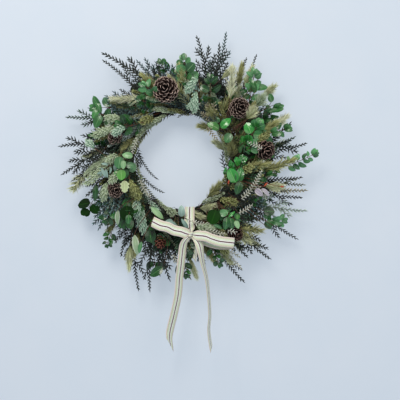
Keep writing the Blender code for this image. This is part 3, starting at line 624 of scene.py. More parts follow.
def barsAlong(name, lines, roundness, surface, closed=False):
    # round bars along lines of points, each with its radii at the start and the end
    data = bpy.data.curves.new(name, "CURVE")
    data.dimensions = "3D"
    data.bevel_depth = 1.0
    data.bevel_resolution = roundness
    data.use_fill_caps = True
    for points, (thick, thin) in lines:
        spline = data.splines.new("POLY")
        spline.points.add(len(points) - 1)
        spline.use_cyclic_u = closed
        for i, (knot, point) in enumerate(zip(spline.points, points)):
            knot.co = (*point, 1)
            knot.radius = thick + (thin - thick) * i / (len(points) - 1)
    data.materials.append(surface)
    bars = evaluated(bpy.data.objects.new(name, data))
    bars.data.shade_smooth()
    return bars


class Draft:  # a piece in the making: its twigs, and its copies of small shapes
    def __init__(self, name, roundness=1):
        self.name = name
        self.roundness = roundness
        self.twigs = []
        self.copies = []
        self.dice = random.Random(name)

    def twig(self, points, radii, surface="twig"):
        self.twigs.append((points, radii, surface))

    def put(self, kind, place, heading, faceWay, size, shade=None):
        across = heading.cross(faceWay)
        if across.length < 1e-3:
            across = heading.cross(up + right * 0.3)
        across.normalize()
        normal = across.cross(heading)
        turned = Matrix((across, heading, normal)).transposed().to_euler()
        shade = self.dice.random() if shade is None else shade
        self.copies.append((shapeNumber(kind), place, turned, size, shade))

    def copyObject(self):
        cloud = bpy.data.meshes.new(self.name)
        cloud.vertices.add(len(self.copies))
        cloud.vertices.foreach_set("co", [c for copy in self.copies for c in copy[1]])
        for name, kind, field, column in copyFields:
            values = [copy[column] for copy in self.copies]
            if field == "vector":
                values = [c for value in values for c in value]
            cloud.attributes.new(name, kind, "POINT").data.foreach_set(field, values)
        obj = bpy.data.objects.new(self.name, cloud)
        obj.modifiers.new("Placing", "NODES").node_group = placingGroup
        made = evaluated(obj)
        for name in ("kind", "turn", "size"):
            if name in made.data.attributes:
                made.data.attributes.remove(made.data.attributes[name])
        return made

    def make(self, node=None):
        parts = []
        for surface in sorted({row[2] for row in self.twigs}):
            lines = [row[:2] for row in self.twigs if row[2] == surface]
            parts.append(barsAlong(self.name, lines, self.roundness, surfaces[surface]))
        if self.copies:
            parts.append(self.copyObject())
        handOver(joined(parts, self.name), node)


def pieceName(node):  # a camelCase name for the piece that stands for a node
    first, *rest = node.split("_")
    return first + "".join(word.capitalize() for word in rest) + "Piece"


def makeSprays(label, table, grow):
    # a row named after a node starts with its turn of the wire, any other with the hour of its root
    for name, (start, side, bend, hour, radius, height, *plan) in table.items():
        node = name if "_" in name else None
        draft = Draft(pieceName(name) if node else name)
        rootHour = rootOf(start, side) if node else start
        grow(draft, sprayPath(rootHour, side, bend, hour, radius, height), *plan)
        draft.make(node)
    print(label, len(table))


# Needle sprigs

needlePlan = {"stem": 1.8 * mm, "tip": 0.65 * mm, "length": 13.6 * mm, "wide": 3.7 * mm, "deep": 2.2 * mm,
              "pitch": 10.0 * mm, "bare": 0.12, "twigReach": 46 * mm, "openDeg": 46, "faceOpenDeg": 66,
              "strayDeg": 14, "frontTooth": (85, 0.5), "firstTwig": 0.34, "twigSpan": 0.5,
              "sideTwig": (1.1 * mm, 0.65 * mm), "stemPoints": 24, "fillStemPoints": 10}
needleStems = {"pale": "greyTwig", "tan": "greyTwig", "white": "paleTwig", "cream": "paleTwig"}
# turn or root hour, side, bend, tip hour, tip radius, tip height, surface, side twigs, needle share
needleSprigs = {
    "needle_top_left": (1, frontEdge, 0, 7, 312, 22, "dark", 5, 1.0),
    "needle_top_right": (1, edge, 0, 19, 340, 10, "blue", 2, 0.9),
    "needle_top_thick": (1, high, 0, 18, 301, 52, "dark", 8, 1.1),
    "needle_crown_left": (17, frontEdge, 0, 324, 332, 26, "dark", 2, 1.4),
    "needle_crown": (17, edge, 0, 336, 276, 12, "blue", 4, 0.9),
    "needle_left_upper": (15, edge, 0, 291, 309, 14, "green", 4, 0.9),
    "needle_left": (14, frontEdge, 0, 277, 307, 26, "dark", 4, 1.0),
    "needle_left_lower": (14, edge, 0, 264, 302, 12, "dark", 5, 1.0),
    "needle_low_left": (12, frontEdge, 0, 231, 268, 22, "blue", 6, 1.25),
    "needle_bottom_left": (11, edge, 0, 199, 340, 12, "dark", 3, 0.9),
    "needle_bottom": (10, frontEdge, 0, 186, 298, 24, "dark", 5, 1.0),
    "needle_bottom_right": (8, edge, 0, 153, 339, 12, "dark", 3, 0.95),
    "needle_low_right": (7, frontEdge, 0, 138, 327, 24, "dark", 5, 1.0),
    "needle_right_long": (6, edge, 0, 124, 348, 10, "dark", 2, 0.75),
    "needle_right_pale": (6, frontEdge, 0, 112, 333, 26, "pale", 4, 1.3),
    "needle_right": (5, edge, 0, 101, 312, 14, "olive", 3, 0.7),
    "needle_right_upper": (4, frontEdge, 0, 82, 312, 24, "dark", 4, 0.9),
    "needle_top_twig": (2, edge, 0, 35, 325, 10, "dark", 1, 0.55),
    "needlesUpperLeftBlue": (325, high, 0, 310.5, 248, 40, "blue", 5, 0.9),
    "needlesLeftBelow": (283, high, 0, 260, 275, 44, "dark", 5, 1.0),
    "needlesLowLeftThin": (232, frontEdge, 0, 213, 281, 18, "dark", 2, 0.8),
    "needlesBottomDark": (212, frontEdge, 0, 194, 333, 26, "dark", 4, 0.9),
    "needlesBottomMiddle": (196, edge, 0, 176, 294, 16, "olive", 4, 0.9),
    "needlesTailsGreen": (188, face, 0, 176, 236, 70, "green", 5, 1.0),
    "needlesTailsOlive": (180, face, 0, 168, 244, 66, "olive", 4, 1.0),
    "needlesBottomPale": (166, high, 0, 151, 306, 46, "white", 3, 0.7),
    "needlesBottomTwin": (206, high, 0, 191, 288, 40, "dark", 3, 0.9),
    "needlesBottomDeep": (196, high, 0, 183, 250, 44, "dark", 6, 1.0),
    "needlesBottomDeepLeft": (212, high, 0, 198, 252, 44, "dark", 6, 1.0),
    "needlesRightLow": (122, edge, 0, 107, 311, 16, "dark", 4, 0.9),
    "needlesRightThin": (112, frontEdge, 0, 98, 300, 30, "dark", 2, 0.8),
    "needlesRightUp": (92, frontEdge, 0, 78, 287, 20, "green", 4, 0.9),
    "needlesTopTwig": (44, frontEdge, 0, 32, 303, 20, "dark", 1, 0.55),
    "needlesInnerLeft": (285, inner, 0, 233, 76, 20, "dark", 0, 0.12),
    "needlesInnerLow": (258, inner, 0, 211, 91, 18, "dark", 0, 0.35),
    "needlesInnerTop": (10, low, 0, 355, 110, 34, "dark", 0, 0.2),
    "needlesFaceRightDark": (140, face, 0, 116, 206, 70, "dark", 6, 1.0),
    "needlesFaceRightGreen": (122, face, 0, 100, 196, 66, "green", 6, 1.0),
    "needlesFaceLow": (158, face, 0, 136, 222, 66, "dark", 5, 1.0),
    "needlesHoleTopCream": (46, low, 0, 20, 160, 66, "cream", 2, 0.9),
    "needlesTopBlue": (10, high, 0, 350, 246, 38, "blue", 4, 0.9),
    "needlesTopDark": (38, high, 0, 24, 240, 34, "dark", 5, 1.0),
    "needlesBottomRightDark": (156, high, 0, 146, 286, 40, "dark", 5, 1.1),
    "needlesBottomRightInner": (172, frontEdge, 0, 158, 262, 30, "dark", 5, 1.1),
    "needlesBottomLeftInner": (204, high, 0, 190, 262, 46, "dark", 5, 1.1),
    "needlesBottomLeftOuter": (226, frontEdge, 0, 206, 288, 20, "dark", 4, 1.0),
    "needlesInnerLowTwin": (246, inner, 0, 206.5, 117, 24, "olive", 0, 0.3),
    "needlesInnerPale": (244, low, 0, 215, 128, 52, "pale", 0, 0.35),
    "needlesInnerTopLeft": (330, inner, 0, 313, 129, 40, "green", 0, 0.6),
    "needlesRightLowFill": (142, high, 0, 122, 250, 44, "dark", 6, 1.0),
    "needlesRightLowTeal": (136, face, 0, 119, 232, 56, "blue", 5, 0.9),
    "needlesRightLowGap": (144, high, 0, 128, 240, 50, "green", 5, 1.0),
    "needlesRightTan": (118, frontEdge, 0, 103.5, 317, 40, "tan", 0, 1.0),
    "needlesRightUpperDark": (100, face, 0, 71, 283, 50, "dark", 1, 1.2),
    "needlesLeftGapDark": (270, high, 0, 250, 250, 50, "dark", 5, 1.0),
    "needlesRightTopGreen": (74, frontEdge, 0, 60, 274, 24, "green", 3, 0.8),
    "needlesCrownTwin": (340, high, 0, 322, 316, 40, "dark", 2, 0.8),
    "needlesLowLeftBlue": (252, face, 0, 237, 242, 62, "blue", 5, 1.3),
    "needlesRightBlue": (70, high, 0, 56, 250, 30, "blue", 5, 0.9),
}


def coverWithNeedles(draft, path, start, surface, share, shape="needle", openDeg=needlePlan["openDeg"]):
    # teeth by turns left and right that lie flat, with a short one in front at every third
    dice, stray = draft.dice, needlePlan["strayDeg"]
    size = 0.5 + 0.5 * share
    kind = f"{shape}.{surface}"
    distance, count = start, 0
    while distance < path.length - 2 * mm:
        done = distance / path.length
        along, across, facing = path.frame(distance)
        taper = 1 - 0.5 * max(0.0, (done - 0.6) / 0.4) ** 1.3
        rows = [(180 * (count % 2), 1.0)] + ([needlePlan["frontTooth"]] if count % 3 == 0 else [])
        for angle, reach in rows:
            angle = math.radians(angle + dice.uniform(-stray, stray))
            away = across * math.cos(angle) + facing * math.sin(angle)
            lean = math.radians(openDeg * (1.08 - 0.3 * done) + dice.uniform(-stray / 2, stray / 2))
            heading = along * math.cos(lean) + away * math.sin(lean)
            length = needlePlan["length"] * size * taper * reach * dice.uniform(0.85, 1.15)
            wide = needlePlan["wide"] * (0.1 + 0.9 * size) * dice.uniform(0.85, 1.15)
            draft.put(kind, path.at(distance), heading, along.cross(away),
                      (wide, length, needlePlan["deep"]))
        pitch = 0.5 * needlePlan["pitch"] * (0.3 + 0.7 * size)
        distance += pitch * dice.uniform(0.9, 1.1) * (1 - 0.15 * done)
        count += 1
    end, (along, across, facing) = path.at(path.length), path.frame(path.length)
    draft.put(kind, end - along * 1 * mm, along, facing,
              (needlePlan["wide"] * size * 0.7, needlePlan["length"] * size * 0.62, needlePlan["deep"]))


def growNeedleSprig(draft, path, surface, twigs, share, shape="needle"):
    count = needlePlan["stemPoints" if shape == "needle" else "fillStemPoints"]
    stem = needleStems.get(surface, "darkTwig")
    thick = (0.55 + 0.45 * share) * (1.0 if shape == "needle" else 0.75)
    draft.twig(path.spread(count), (needlePlan["stem"] * thick, needlePlan["tip"] * thick), stem)
    free = path.length - path.tuck
    coverWithNeedles(draft, path, path.tuck + needlePlan["bare"] * free, surface, share, shape)
    for number in range(twigs):
        stray = draft.dice.uniform(-0.25, 0.25)
        done = needlePlan["firstTwig"] + needlePlan["twigSpan"] * (number + stray) / max(twigs, 1)
        start = path.tuck + free * done
        along, across, facing = path.frame(start)
        way = (across if number % 2 else -across) + facing * draft.dice.uniform(-0.25, 0.5)
        reach = needlePlan["twigReach"] * (1.35 - done) * draft.dice.uniform(0.85, 1.3)
        root = path.at(start)
        end = root + (along * 0.86 + way * 0.46).normalized() * reach
        side = Path(curved(root, root + (along + way).normalized() * reach * 0.3,
                           end - along * reach * 0.35, end, 5))
        draft.twig(side.points, [radius * thick for radius in needlePlan["sideTwig"]], stem)
        coverWithNeedles(draft, side, 3 * mm, surface, share * 0.85, shape)


# start and end of the needles, right and up of the hoop's centre, height, surface, share, root hour
faceTwigs = {
    "whiteTwigRight": ((146, -95), (195, -27), 90, "white", 0.3, 132),
    "whiteTwigRightLow": ((140, -129), (172, -109), 86, "white", 0.25, 140),
    "whiteTwigKnot": ((14, -144), (56, -156), 93, "white", 0.28, 196),
    "whiteTwigLoop": ((52, -176), (108, -192), 88, "white", 0.3, 176),
    "whiteTwigLeft": ((-108, 54), (-122, 16), 70, "white", 0.2, 310),
    "whiteTwigLeftLow": ((-103, -47), (-78, -90), 72, "white", 0.3, 250),
    "whiteTwigCone": ((195, 26), (164, 44), 90, "white", 0.25, 92),
    "paleTwigRight": ((186, -62), (208, -92), 88, "white", 0.2, 98),
    "creamTwigHole": ((64, 82), (88, 52), 78, "cream", 0.4, 36),
    "whiteTwigLow": ((-20, -232), (-2, -262), 74, "white", 0.25, 200),
    "whiteTwigOverBow": ((58, -167), (107, -181), 90, "white", 0.3, 162),
    "whiteTwigRedCone": ((113, -171), (133, -175), 96, "white", 0.25, 144),
}


faceTwigPlan = {"bow": 0.07, "sunk": 26 * mm, "stem": (1.2 * mm, 0.8 * mm), "twig": (1.0 * mm, 0.6 * mm)}


def makeFaceTwigs():
    for name, (first, last, height, surface, share, rootHour) in faceTwigs.items():
        draft = Draft(name)
        start, end, root = onFace(first, last, height, rootHour)
        run = end - start
        bow = start.lerp(end, 0.5) + run.normalized().cross(front) * run.length * faceTwigPlan["bow"]
        sunk = start - front * faceTwigPlan["sunk"]
        draft.twig(curved(root, root.lerp(sunk, 0.4), sunk, start, 10), faceTwigPlan["stem"], "darkTwig")
        path = Path(smoothed([start, bow, end], 14))
        draft.twig(path.points, faceTwigPlan["twig"], "paleTwig")
        coverWithNeedles(draft, path, 1 * mm, surface, share, "needle", needlePlan["faceOpenDeg"])
        draft.make()
    print("face twigs:", len(faceTwigs))


# Leafy sprays

leafPlan = {"stem": (1.4 * mm, 0.6 * mm), "stalk": (0.7 * mm, 0.5 * mm), "stalkLength": 3 * mm, "bare": 0.25,
            "pairPitch": 0.55, "lastPair": 0.3, "tipWays": (-0.35, 0.3)}
# turn or root hour, side, bend, tip hour, tip radius, tip height, leaf, pairs, outline, surface
leafSprays = {
    "leaf_right_long": (5, high, 0, 87, 330, 34, 22, 6, "oval", "mid"),
    "leaf_right_low": (7, high, 0, 121, 290, 40, 26, 3, "oval", "mid"),
    "leaf_top_right": (3, high, -10, 40, 280, 40, 28, 4, "oval", "mid"),
    "leaf_right_upper": (3, frontEdge, 0, 61, 272, 30, 28, 4, "oval", "leaf"),
    "leaf_right_mid": (3, low, 15, 73, 270, 66, 26, 4, "oval", "leaf"),
    "leaf_crown": (0, high, 0, 1, 250, 40, 30, 3, "round", "mid"),
    "leaf_face_top": (1, face, 0, 20, 208, 76, 30, 4, "oval", "deep"),
    "leaf_hole_top": (2, low, 0, 44, 132, 44, 27, 1, "oval", "mid"),
    "leaf_face_right": (4, face, 0, 65, 206, 74, 30, 4, "round", "gloss"),
    "leaf_glossy": (5, low, 0, 92, 146, 62, 32, 4, "ruffled", "gloss"),
    "leaf_face_low_right": (6, low, 0, 147, 186, 62, 27, 3, "cupped", "gloss"),
    "leaf_face_low_left": (11, face, 0, 223, 204, 70, 34, 3, "round", "deep"),
    "leaf_left_round": (13, high, 0, 243, 264, 34, 33, 1, "round", "night"),
    "leaf_bottom": (10, high, 0, 194, 276, 30, 30, 1, "oval", "deep"),
    "leaf_face_left": (13, low, 0, 257, 158, 66, 25, 4, "round", "mid"),
    "leaf_face_upper_left": (15, face, 0, 301, 172, 72, 32, 4, "oval", "deep"),
    "leaf_left_upper": (16, high, 0, 302, 250, 42, 31, 2, "oval", "leaf"),
    "leavesLowLeftSmall": (243, frontEdge, 0, 222, 280, 24, 18, 3, "oval", "deep"),
    "leavesBottomDark": (190, high, 0, 178, 280, 52, 24, 2, "oval", "deep"),
    "leavesBottomRight": (166, face, 0, 160, 268, 64, 22, 3, "oval", "deep"),
    "leavesFaceTopGrey": (28, low, 0, 12, 176, 74, 24, 3, "lance", "grey"),
    "leavesLeftGrey": (288, face, 0, 262, 196, 78, 22, 3, "lance", "grey"),
    "leavesRightFace": (92, low, 0, 78, 178, 70, 26, 3, "round", "mid"),
    "leavesTopFace": (352, face, 0, 334, 204, 66, 28, 3, "oval", "mid"),
    "leavesRightLowTeal": (138, high, 0, 118, 220, 50, 27, 3, "oval", "deep"),
    "leavesLowRightFresh": (150, low, 0, 138, 196, 70, 24, 3, "oval", "mid"),
}


def growLeafSpray(draft, path, leaf, pairs, outline, surface):
    dice = draft.dice
    draft.twig(path.spread(20), leafPlan["stem"])
    size = leaf * mm
    bare = path.tuck + leafPlan["bare"] * (path.length - path.tuck)
    first = max(bare, path.length - size * leafPlan["pairPitch"] * pairs)
    for number, distance in enumerate(steps(first, path.length - size * leafPlan["lastPair"], pairs)):
        along, across, facing = path.frame(distance)
        swing = math.radians(dice.uniform(-20, 20) + (dice.uniform(35, 70) if number % 2 else -10))
        for way in (across, -across):
            turned = way * math.cos(swing) + facing * math.sin(swing)
            heading = (turned * 0.85 + along * dice.uniform(0.35, 0.75)).normalized()
            normal = (facing + front * 0.4 + along * dice.uniform(-1.0, 0.6)
                      + across * dice.uniform(-0.95, 0.95)).normalized()
            root = path.at(distance)
            base = root + heading * leafPlan["stalkLength"]
            length = size * (1.08 - 0.36 * number / pairs) * dice.uniform(0.78, 1.12)
            draft.twig([root, base + heading * 1.5 * mm], leafPlan["stalk"])
            draft.put(f"{outline}.{surface}", base, heading, normal, (length, length, length))
    along, across, facing = path.frame(path.length)
    for swing in leafPlan["tipWays"]:
        heading = (along + across * swing).normalized()
        length = size * dice.uniform(0.55, 0.7)
        draft.put(f"{outline}.{surface}", path.at(path.length), heading, (facing + front).normalized(),
                  (length, length, length))


# Soft plumes

plumePlan = {"hairs": 640, "fillHairs": 340, "tuft": 7, "hair": 25 * mm, "wide": 1.7 * mm, "core": 1.0 * mm,
             "stem": (1.4 * mm, 0.5 * mm), "stray": 0.14, "shadeStray": 0.12}
goldenDeg = 137.508  # turned by this from one to the next, tufts and cone scales never line up
# turn or root hour, side, bend, tip hour, tip radius, tip height, brush, spread, surface
plumes = {
    "plume_left": (15, high, -5, 255, 282, 38, 48, 2.6, "plumePale"),
    "plume_bottom_left": (11, high, 0, 206, 300, 34, 58, 0.7, "plumePale"),
    "plume_top": (0, face, 0, 29, 258, 64, 36, 0.9, "plumePale"),
    "plume_top_right": (2, high, -20, 51, 296, 18, 40, 1.0, "plumePale"),
    "plume_right": (5, face, 0, 89, 280, 56, 80, 1.3, "plume"),
    "plume_low_right": (8, high, 8, 131, 264, 52, 66, 2.1, "plume"),
    "plume_hole": (7, inner, 0, 122, 109, 40, 50, 1.4, "plume"),
    "plume_face_left": (14, face, -8, 262, 240, 62, 80, 0.6, "sprigSage"),
    "plume_upper_left": (17, high, -20, 311, 232, 66, 84, 1.4, "plumeCream"),
    "plumeTopFace": (60, face, 0, 28, 262, 80, 80, 1.2, "plumeCream"),
    "plumeBottomRightOuter": (170, frontEdge, 0, 154, 280, 38, 56, 1.2, "plumePale"),
    "plumeBottomRightSoft": (176, high, 0, 162, 262, 44, 52, 1.1, "plume"),
    "plumeHoleTopLow": (52, inner, 0, 27, 98, 34, 40, 1.0, "plume"),
    "plumeHoleRightPale": (92, low, 0, 72, 128, 52, 40, 1.2, "plume"),
    "plumeRightTopFace": (68, face, 0, 52, 254, 72, 28, 2.0, "sprigSage"),
    "plumeByCone": (72, face, 0, 55, 215, 70, 26, 1.6, "plumePale"),
    "plumeRightFaceOuter": (84, face, 0, 68, 250, 64, 40, 1.3, "plume"),
    "plumeRightLow": (118, face, 0, 105, 252, 60, 36, 1.2, "plumePale"),
    "plumeLowRightSecond": (164, high, 0, 140, 262, 44, 56, 1.6, "plumePale"),
    "plumeHoleTop": (50, low, 0, 24, 150, 56, 56, 1.2, "plume"),
    "plumeBetweenTails": (186, frontEdge, 0, 173, 290, 30, 48, 0.6, "plumePale"),
    "plumeTopSecond": (52, edge, 0, 32, 284, 22, 56, 1.1, "plume"),
    "plumeTopThird": (54, frontEdge, 0, 37, 290, 30, 50, 1.1, "plumePale"),
    "plumeRightUpper": (82, frontEdge, 0, 67, 284, 30, 44, 1.2, "plumeCream"),
    "plumeHoleRight": (88, inner, 0, 64, 116, 30, 50, 0.9, "plume"),
    "plumeCrown": (352, high, 0, 335, 236, 46, 58, 1.1, "plume"),
    "plumeFaceTop": (12, face, 0, 352, 206, 60, 56, 1.1, "plume"),
    "plumeFaceRight": (104, face, 0, 92, 214, 66, 60, 1.1, "plume"),
    "plumeLowRightFace": (160, low, 0, 150, 208, 62, 60, 1.1, "plume"),
    "plumeLeftFace": (300, low, 0, 282, 150, 50, 56, 1.1, "plume"),
    "plumeLowLeftFace": (248, low, 0, 228, 160, 52, 56, 1.1, "plume"),
    "plumeBottomRight": (158, frontEdge, 0, 146, 262, 22, 62, 1.3, "plume"),
    "plumeBottomRightPale": (150, edge, 0, 138, 282, 14, 56, 1.1, "plumePale"),
    "plumeBottomLeftPale": (222, frontEdge, 0, 207, 262, 24, 56, 1.2, "plume"),
    "plumeLowLeftOuter": (240, edge, 0, 226, 262, 16, 56, 1.1, "plume"),
    "plumeHoleLow": (182, low, 0, 160, 148, 40, 46, 1.0, "plumePale"),
    "plumeHoleLowPale": (166, low, 0, 146, 136, 48, 36, 0.9, "plumePale"),
    "plumeHoleRightTip": (84, inner, 0, 61, 96, 26, 34, 1.1, "plumePale"),
}


def growPlume(draft, path, brush, wide, surface, hairs="hairs"):
    # small tufts of like-coloured hairs, so that the brush shows soft streaks
    dice, astray, shadeStray = draft.dice, plumePlan["stray"], plumePlan["shadeStray"]
    draft.twig(path.spread(12), plumePlan["stem"])
    root = path.length - brush * mm
    tufts = plumePlan[hairs] // plumePlan["tuft"]
    for i in range(tufts):
        done = (i + 0.5) / tufts
        distance = root + brush * mm * done * 0.92
        along, across, facing = path.frame(distance)
        angle = math.radians(i * goldenDeg)
        away = across * math.cos(angle) + facing * math.sin(angle)
        swell = math.sin(math.pi * (0.2 + 0.72 * done)) ** 0.8
        heading = along + away * wide * swell * dice.uniform(0.2, 0.85)
        shade = dice.random()
        reach = plumePlan["hair"] * (1.1 - 0.4 * done) * dice.uniform(0.7, 1.2)
        for _ in range(plumePlan["tuft"]):
            stray = Vector([dice.uniform(-astray, astray) for _ in range(3)])
            thick = plumePlan["wide"] * dice.uniform(0.7, 1.2)
            draft.put(f"hair.{surface}", path.at(distance) + away * plumePlan["core"],
                      (heading + stray).normalized(), away,
                      (thick, reach * dice.uniform(0.7, 1.15), thick * 0.7),
                      min(max(shade + dice.uniform(-shadeStray, shadeStray), 0), 1))


# Pale flat sprays of blunt, overlapping fingers

frondPlan = {"pitch": 4.5 * mm, "finger": 14.5 * mm, "wide": 3.7 * mm, "deep": 2.2 * mm, "offset": 1.9 * mm,
             "cord": 0.62, "strandPitch": 5.2 * mm, "strandWide": 3.2 * mm, "strandFinger": 13 * mm,
             "stem": (1.4 * mm, 0.8 * mm), "faceLead": 16 * mm, "faceOver": 6}
# where each strand of a frond leaves the stem and ends, as shares of its length, and how far aside it ends
strands = [(0.0, 0.55, 7.5), (0.05, 0.63, -7.5), (0.2, 0.78, 8.0), (0.27, 0.86, -8.0), (0.42, 0.94, 5.0),
           (0.48, 1.0, -4.4), (0.1, 1.06, 0.4)]
# turn or root hour, side, bend, tip hour, tip radius, tip height, frond, surface
paleSprays = {
    "scale_hole_top": (17, low, 0, 15, 144, 66, 34, "sprigMint"),
    "scale_face_left": (16, low, 4, 292, 177, 86, 32, "sprigMint"),
    "scale_left": (12, low, 5, 281, 236, 66, 24, "sprigMint"),
    "scale_low_left": (11, low, 0, 209, 200, 60, 64, "sprigMint"),
    "paleSprayLowLeft": (240, face, 0, 220, 176, 70, 56, "sprigMint"),
    "paleSprayLeft": (318, face, 0, 300, 212, 66, 44, "sprigSage"),
    "paleSprayRight": (86, face, 0, 73, 220, 66, 36, "sprigOlive"),
    "paleSprayLowRight": (140, low, 0, 128, 170, 58, 50, "sprigOlive"),
    "paleSprayLeftUpper": (326, face, 0, 286, 224, 68, 62, "sprigSage"),
    "paleSprayLeftLong": (284, face, 0, 257, 240, 70, 100, "sprigSage"),
    "paleSprayLeftInner": (290, face, 0, 270, 180, 76, 30, "sprigSage"),
    "paleSprayInnerTop": (334, low, 0, 314, 138, 56, 40, "sprigOlive"),
    "paleSprayRightMid": (112, face, 0, 96, 172, 74, 34, "sprigOlive"),
    "paleSprayRightLow": (128, low, 0, 112, 158, 66, 36, "sprigOlive"),
    "paleSprayLeftMid": (276, face, 0, 254, 180, 78, 40, "sprigSage"),
    "paleSprayInnerLeft": (254, low, 0, 232, 146, 62, 36, "sprigOlive"),
    "paleSprayHoleLeft": (226, low, 0, 206, 140, 50, 36, "sprigMint"),
    "paleSprayHoleLow": (206, inner, 0, 188, 132, 44, 30, "sprigSage"),
    "paleSprayBottomRight": (168, face, 0, 154, 252, 62, 50, "sprigOlive"),
}
# start and tip, right and up of the hoop's centre, height, surface, root hour
faceFans = {
    "fanTop": ((35, 168), (30, 122), 84, "sprigMint", 14),
    "fanTopUpper": ((38, 202), (14, 171), 80, "sprigMint", 18),
    "fanLeftOlive": ((-126, -49), (-107, -90), 84, "sprigOlive", 254),
    "fanLeftLow": ((-186, -57), (-193, -95), 70, "sprigSage", 260),
    "fanKnotRight": ((39, -162), (74, -167), 86, "sprigSage", 170),
}


def coverWithFingers(draft, path, start, surface, share):
    # a plait: fingers that leave by turns left, right and in front, and lie close to the stem
    dice, kind = draft.dice, f"scalelet.{surface}"
    distance, count = start, 0
    while distance < path.length:
        done = (distance - start) / (path.length - start)
        along, across, facing = path.frame(distance)
        swell = share * (0.62 + 0.38 * math.sin(math.pi * min(1.0, done * 0.9 + 0.2)))
        inward = (across if count % 2 else -across) * 0.6 + facing * 0.8
        for way, spread, out in ((across, 0.52, 1.0), (-across, 0.52, 1.0), (inward, 0.26, 0.5)):
            turned = way + facing * dice.uniform(0.0, 0.3) + across * dice.uniform(-0.2, 0.2)
            heading = (along + turned * spread * dice.uniform(0.8, 1.2)).normalized()
            root = path.at(distance) + way * out * frondPlan["offset"] * swell
            root += facing * (1.2 * mm if out < 1 else 0)
            draft.put(kind, root, heading, (facing + way * 0.3).normalized(),
                      (frondPlan["wide"] * swell, frondPlan["finger"] * swell * dice.uniform(0.8, 1.2),
                       frondPlan["deep"]))
        distance += frondPlan["pitch"] * dice.uniform(0.85, 1.15)
        count += 1
    end, (along, across, facing) = path.at(path.length), path.frame(path.length)
    for lean in (-0.6, -0.3, 0.0, 0.3, 0.6):
        draft.put(kind, end - along * 3 * mm, (along + across * lean).normalized(), facing,
                  (frondPlan["wide"] * share * 0.9, frondPlan["finger"] * (0.95 - abs(lean) * 0.4) * share,
                   frondPlan["deep"]))


def growStrand(draft, path, surface, share):
    # a thin cord of close scales, with its last ones open
    dice, kind = draft.dice, f"finger.{surface}"
    distance, count = 2 * mm, 0
    while distance < path.length:
        done = distance / path.length
        along, across, facing = path.frame(distance)
        way = across if count % 2 else -across
        spread = 0.12 + 0.4 * max(0.0, (done - 0.6) / 0.4)
        aside = way * spread * dice.uniform(0.7, 1.3)
        heading = (along + aside + facing * dice.uniform(0.0, 0.12)).normalized()
        size = share * (0.75 + 0.25 * math.sin(math.pi * min(1.0, done + 0.15)))
        draft.put(kind, path.at(distance) + way * 0.6 * mm, heading,
                  (facing + way * 0.5).normalized(),
                  (frondPlan["strandWide"] * size,
                   frondPlan["strandFinger"] * size * dice.uniform(0.85, 1.15), frondPlan["deep"]))
        distance += frondPlan["strandPitch"] * size * dice.uniform(0.85, 1.15)
        count += 1
    end, heading = path.at(path.length), path.heading(path.length)
    draft.put(kind, end - heading * 5 * mm, heading, path.frame(path.length)[2],
              (frondPlan["strandWide"] * share * 0.9, frondPlan["strandFinger"] * share, frondPlan["deep"]))


def growPaleSpray(draft, path, frond, surface):
    dice = draft.dice
    draft.twig(path.spread(14), frondPlan["stem"])
    length = frond * mm
    first = path.length - length
    fuller = min(1.2, 0.5 + frond / 140)
    for leave, arrive, aside in strands:
        aside *= mm * fuller * dice.uniform(0.85, 1.15)
        arrive = min(arrive + dice.uniform(-0.04, 0.04), 1.0)
        begin, finish = first + length * leave, first + length * arrive
        middle = begin + (finish - begin) * 0.45
        facing = path.frame(middle)[2]
        lift = (5 - abs(aside) / mm * 0.35 + dice.uniform(0, 2)) * mm
        ahead = path.heading(path.length) * 4 * mm * (leave == 0.1)
        points = [path.at(begin), path.at(middle) + path.frame(middle)[1] * aside * 0.6 + facing * lift,
                  path.at(finish) + path.frame(finish)[1] * aside * 1.15 + facing * lift * 0.5 + ahead]
        growStrand(draft, Path(smoothed(points, 9)), surface, dice.uniform(0.9, 1.1))


def makeFaceFans():
    for name, (first, last, height, surface, rootHour) in faceFans.items():
        draft = Draft(name)
        start, end, root = onFace(first, last, height, rootHour)
        before = start - (end - start).normalized() * frondPlan["faceLead"]
        hidden = curved(root, root + front * 0.6 * (start - root).length, before, start, 10)
        path = Path([*hidden, start.lerp(end, 0.5), end])
        growPaleSpray(draft, path, (end - start).length / mm + frondPlan["faceOver"], surface)
        draft.make()
    print("face fans:", len(faceFans))


# Pine cones

# turn, side, centre right and up of the hoop's centre, diameter, length, way that the tip points, surface,
# number of scales, and the height of its back where that isn't the common one
cones = {
    "cone_top": (17, face, (-40, 175), 68, 58, (-0.06, 1.0, 0.16), "cone", 74),
    "cone_top_right": (2, face, (142, 130), 55, 50, (0.16, 1.0, -0.02), "cone", 70),
    "cone_right": (4, high, (205, 27), 53, 50, (0.30, 0.9, -0.42), "coneDeep", 50),
    "cone_left": (12, high, (-164, -73), 42, 40, (0.05, 1.0, 0.05), "cone", 58, 42),
    "cone_upper_left": (14, high, (-165, 57), 38, 38, (-0.1, 1.0, 0.05), "cone", 56, 40),
    "cone_low_left": (10, face, (-53, -200), 32, 42, (-0.10, 0.65, -0.80), "coneRed", 30),
    "cone_low_right": (6, high, (133, -180), 44, 40, (0.35, 0.9, -0.30), "coneDark", 56),
}
conePlan = {"back": 34, "stalk": 1.4 * mm, "reachDeg": 118, "core": (0.13, 0.11, 0.04), "fullScales": 62}


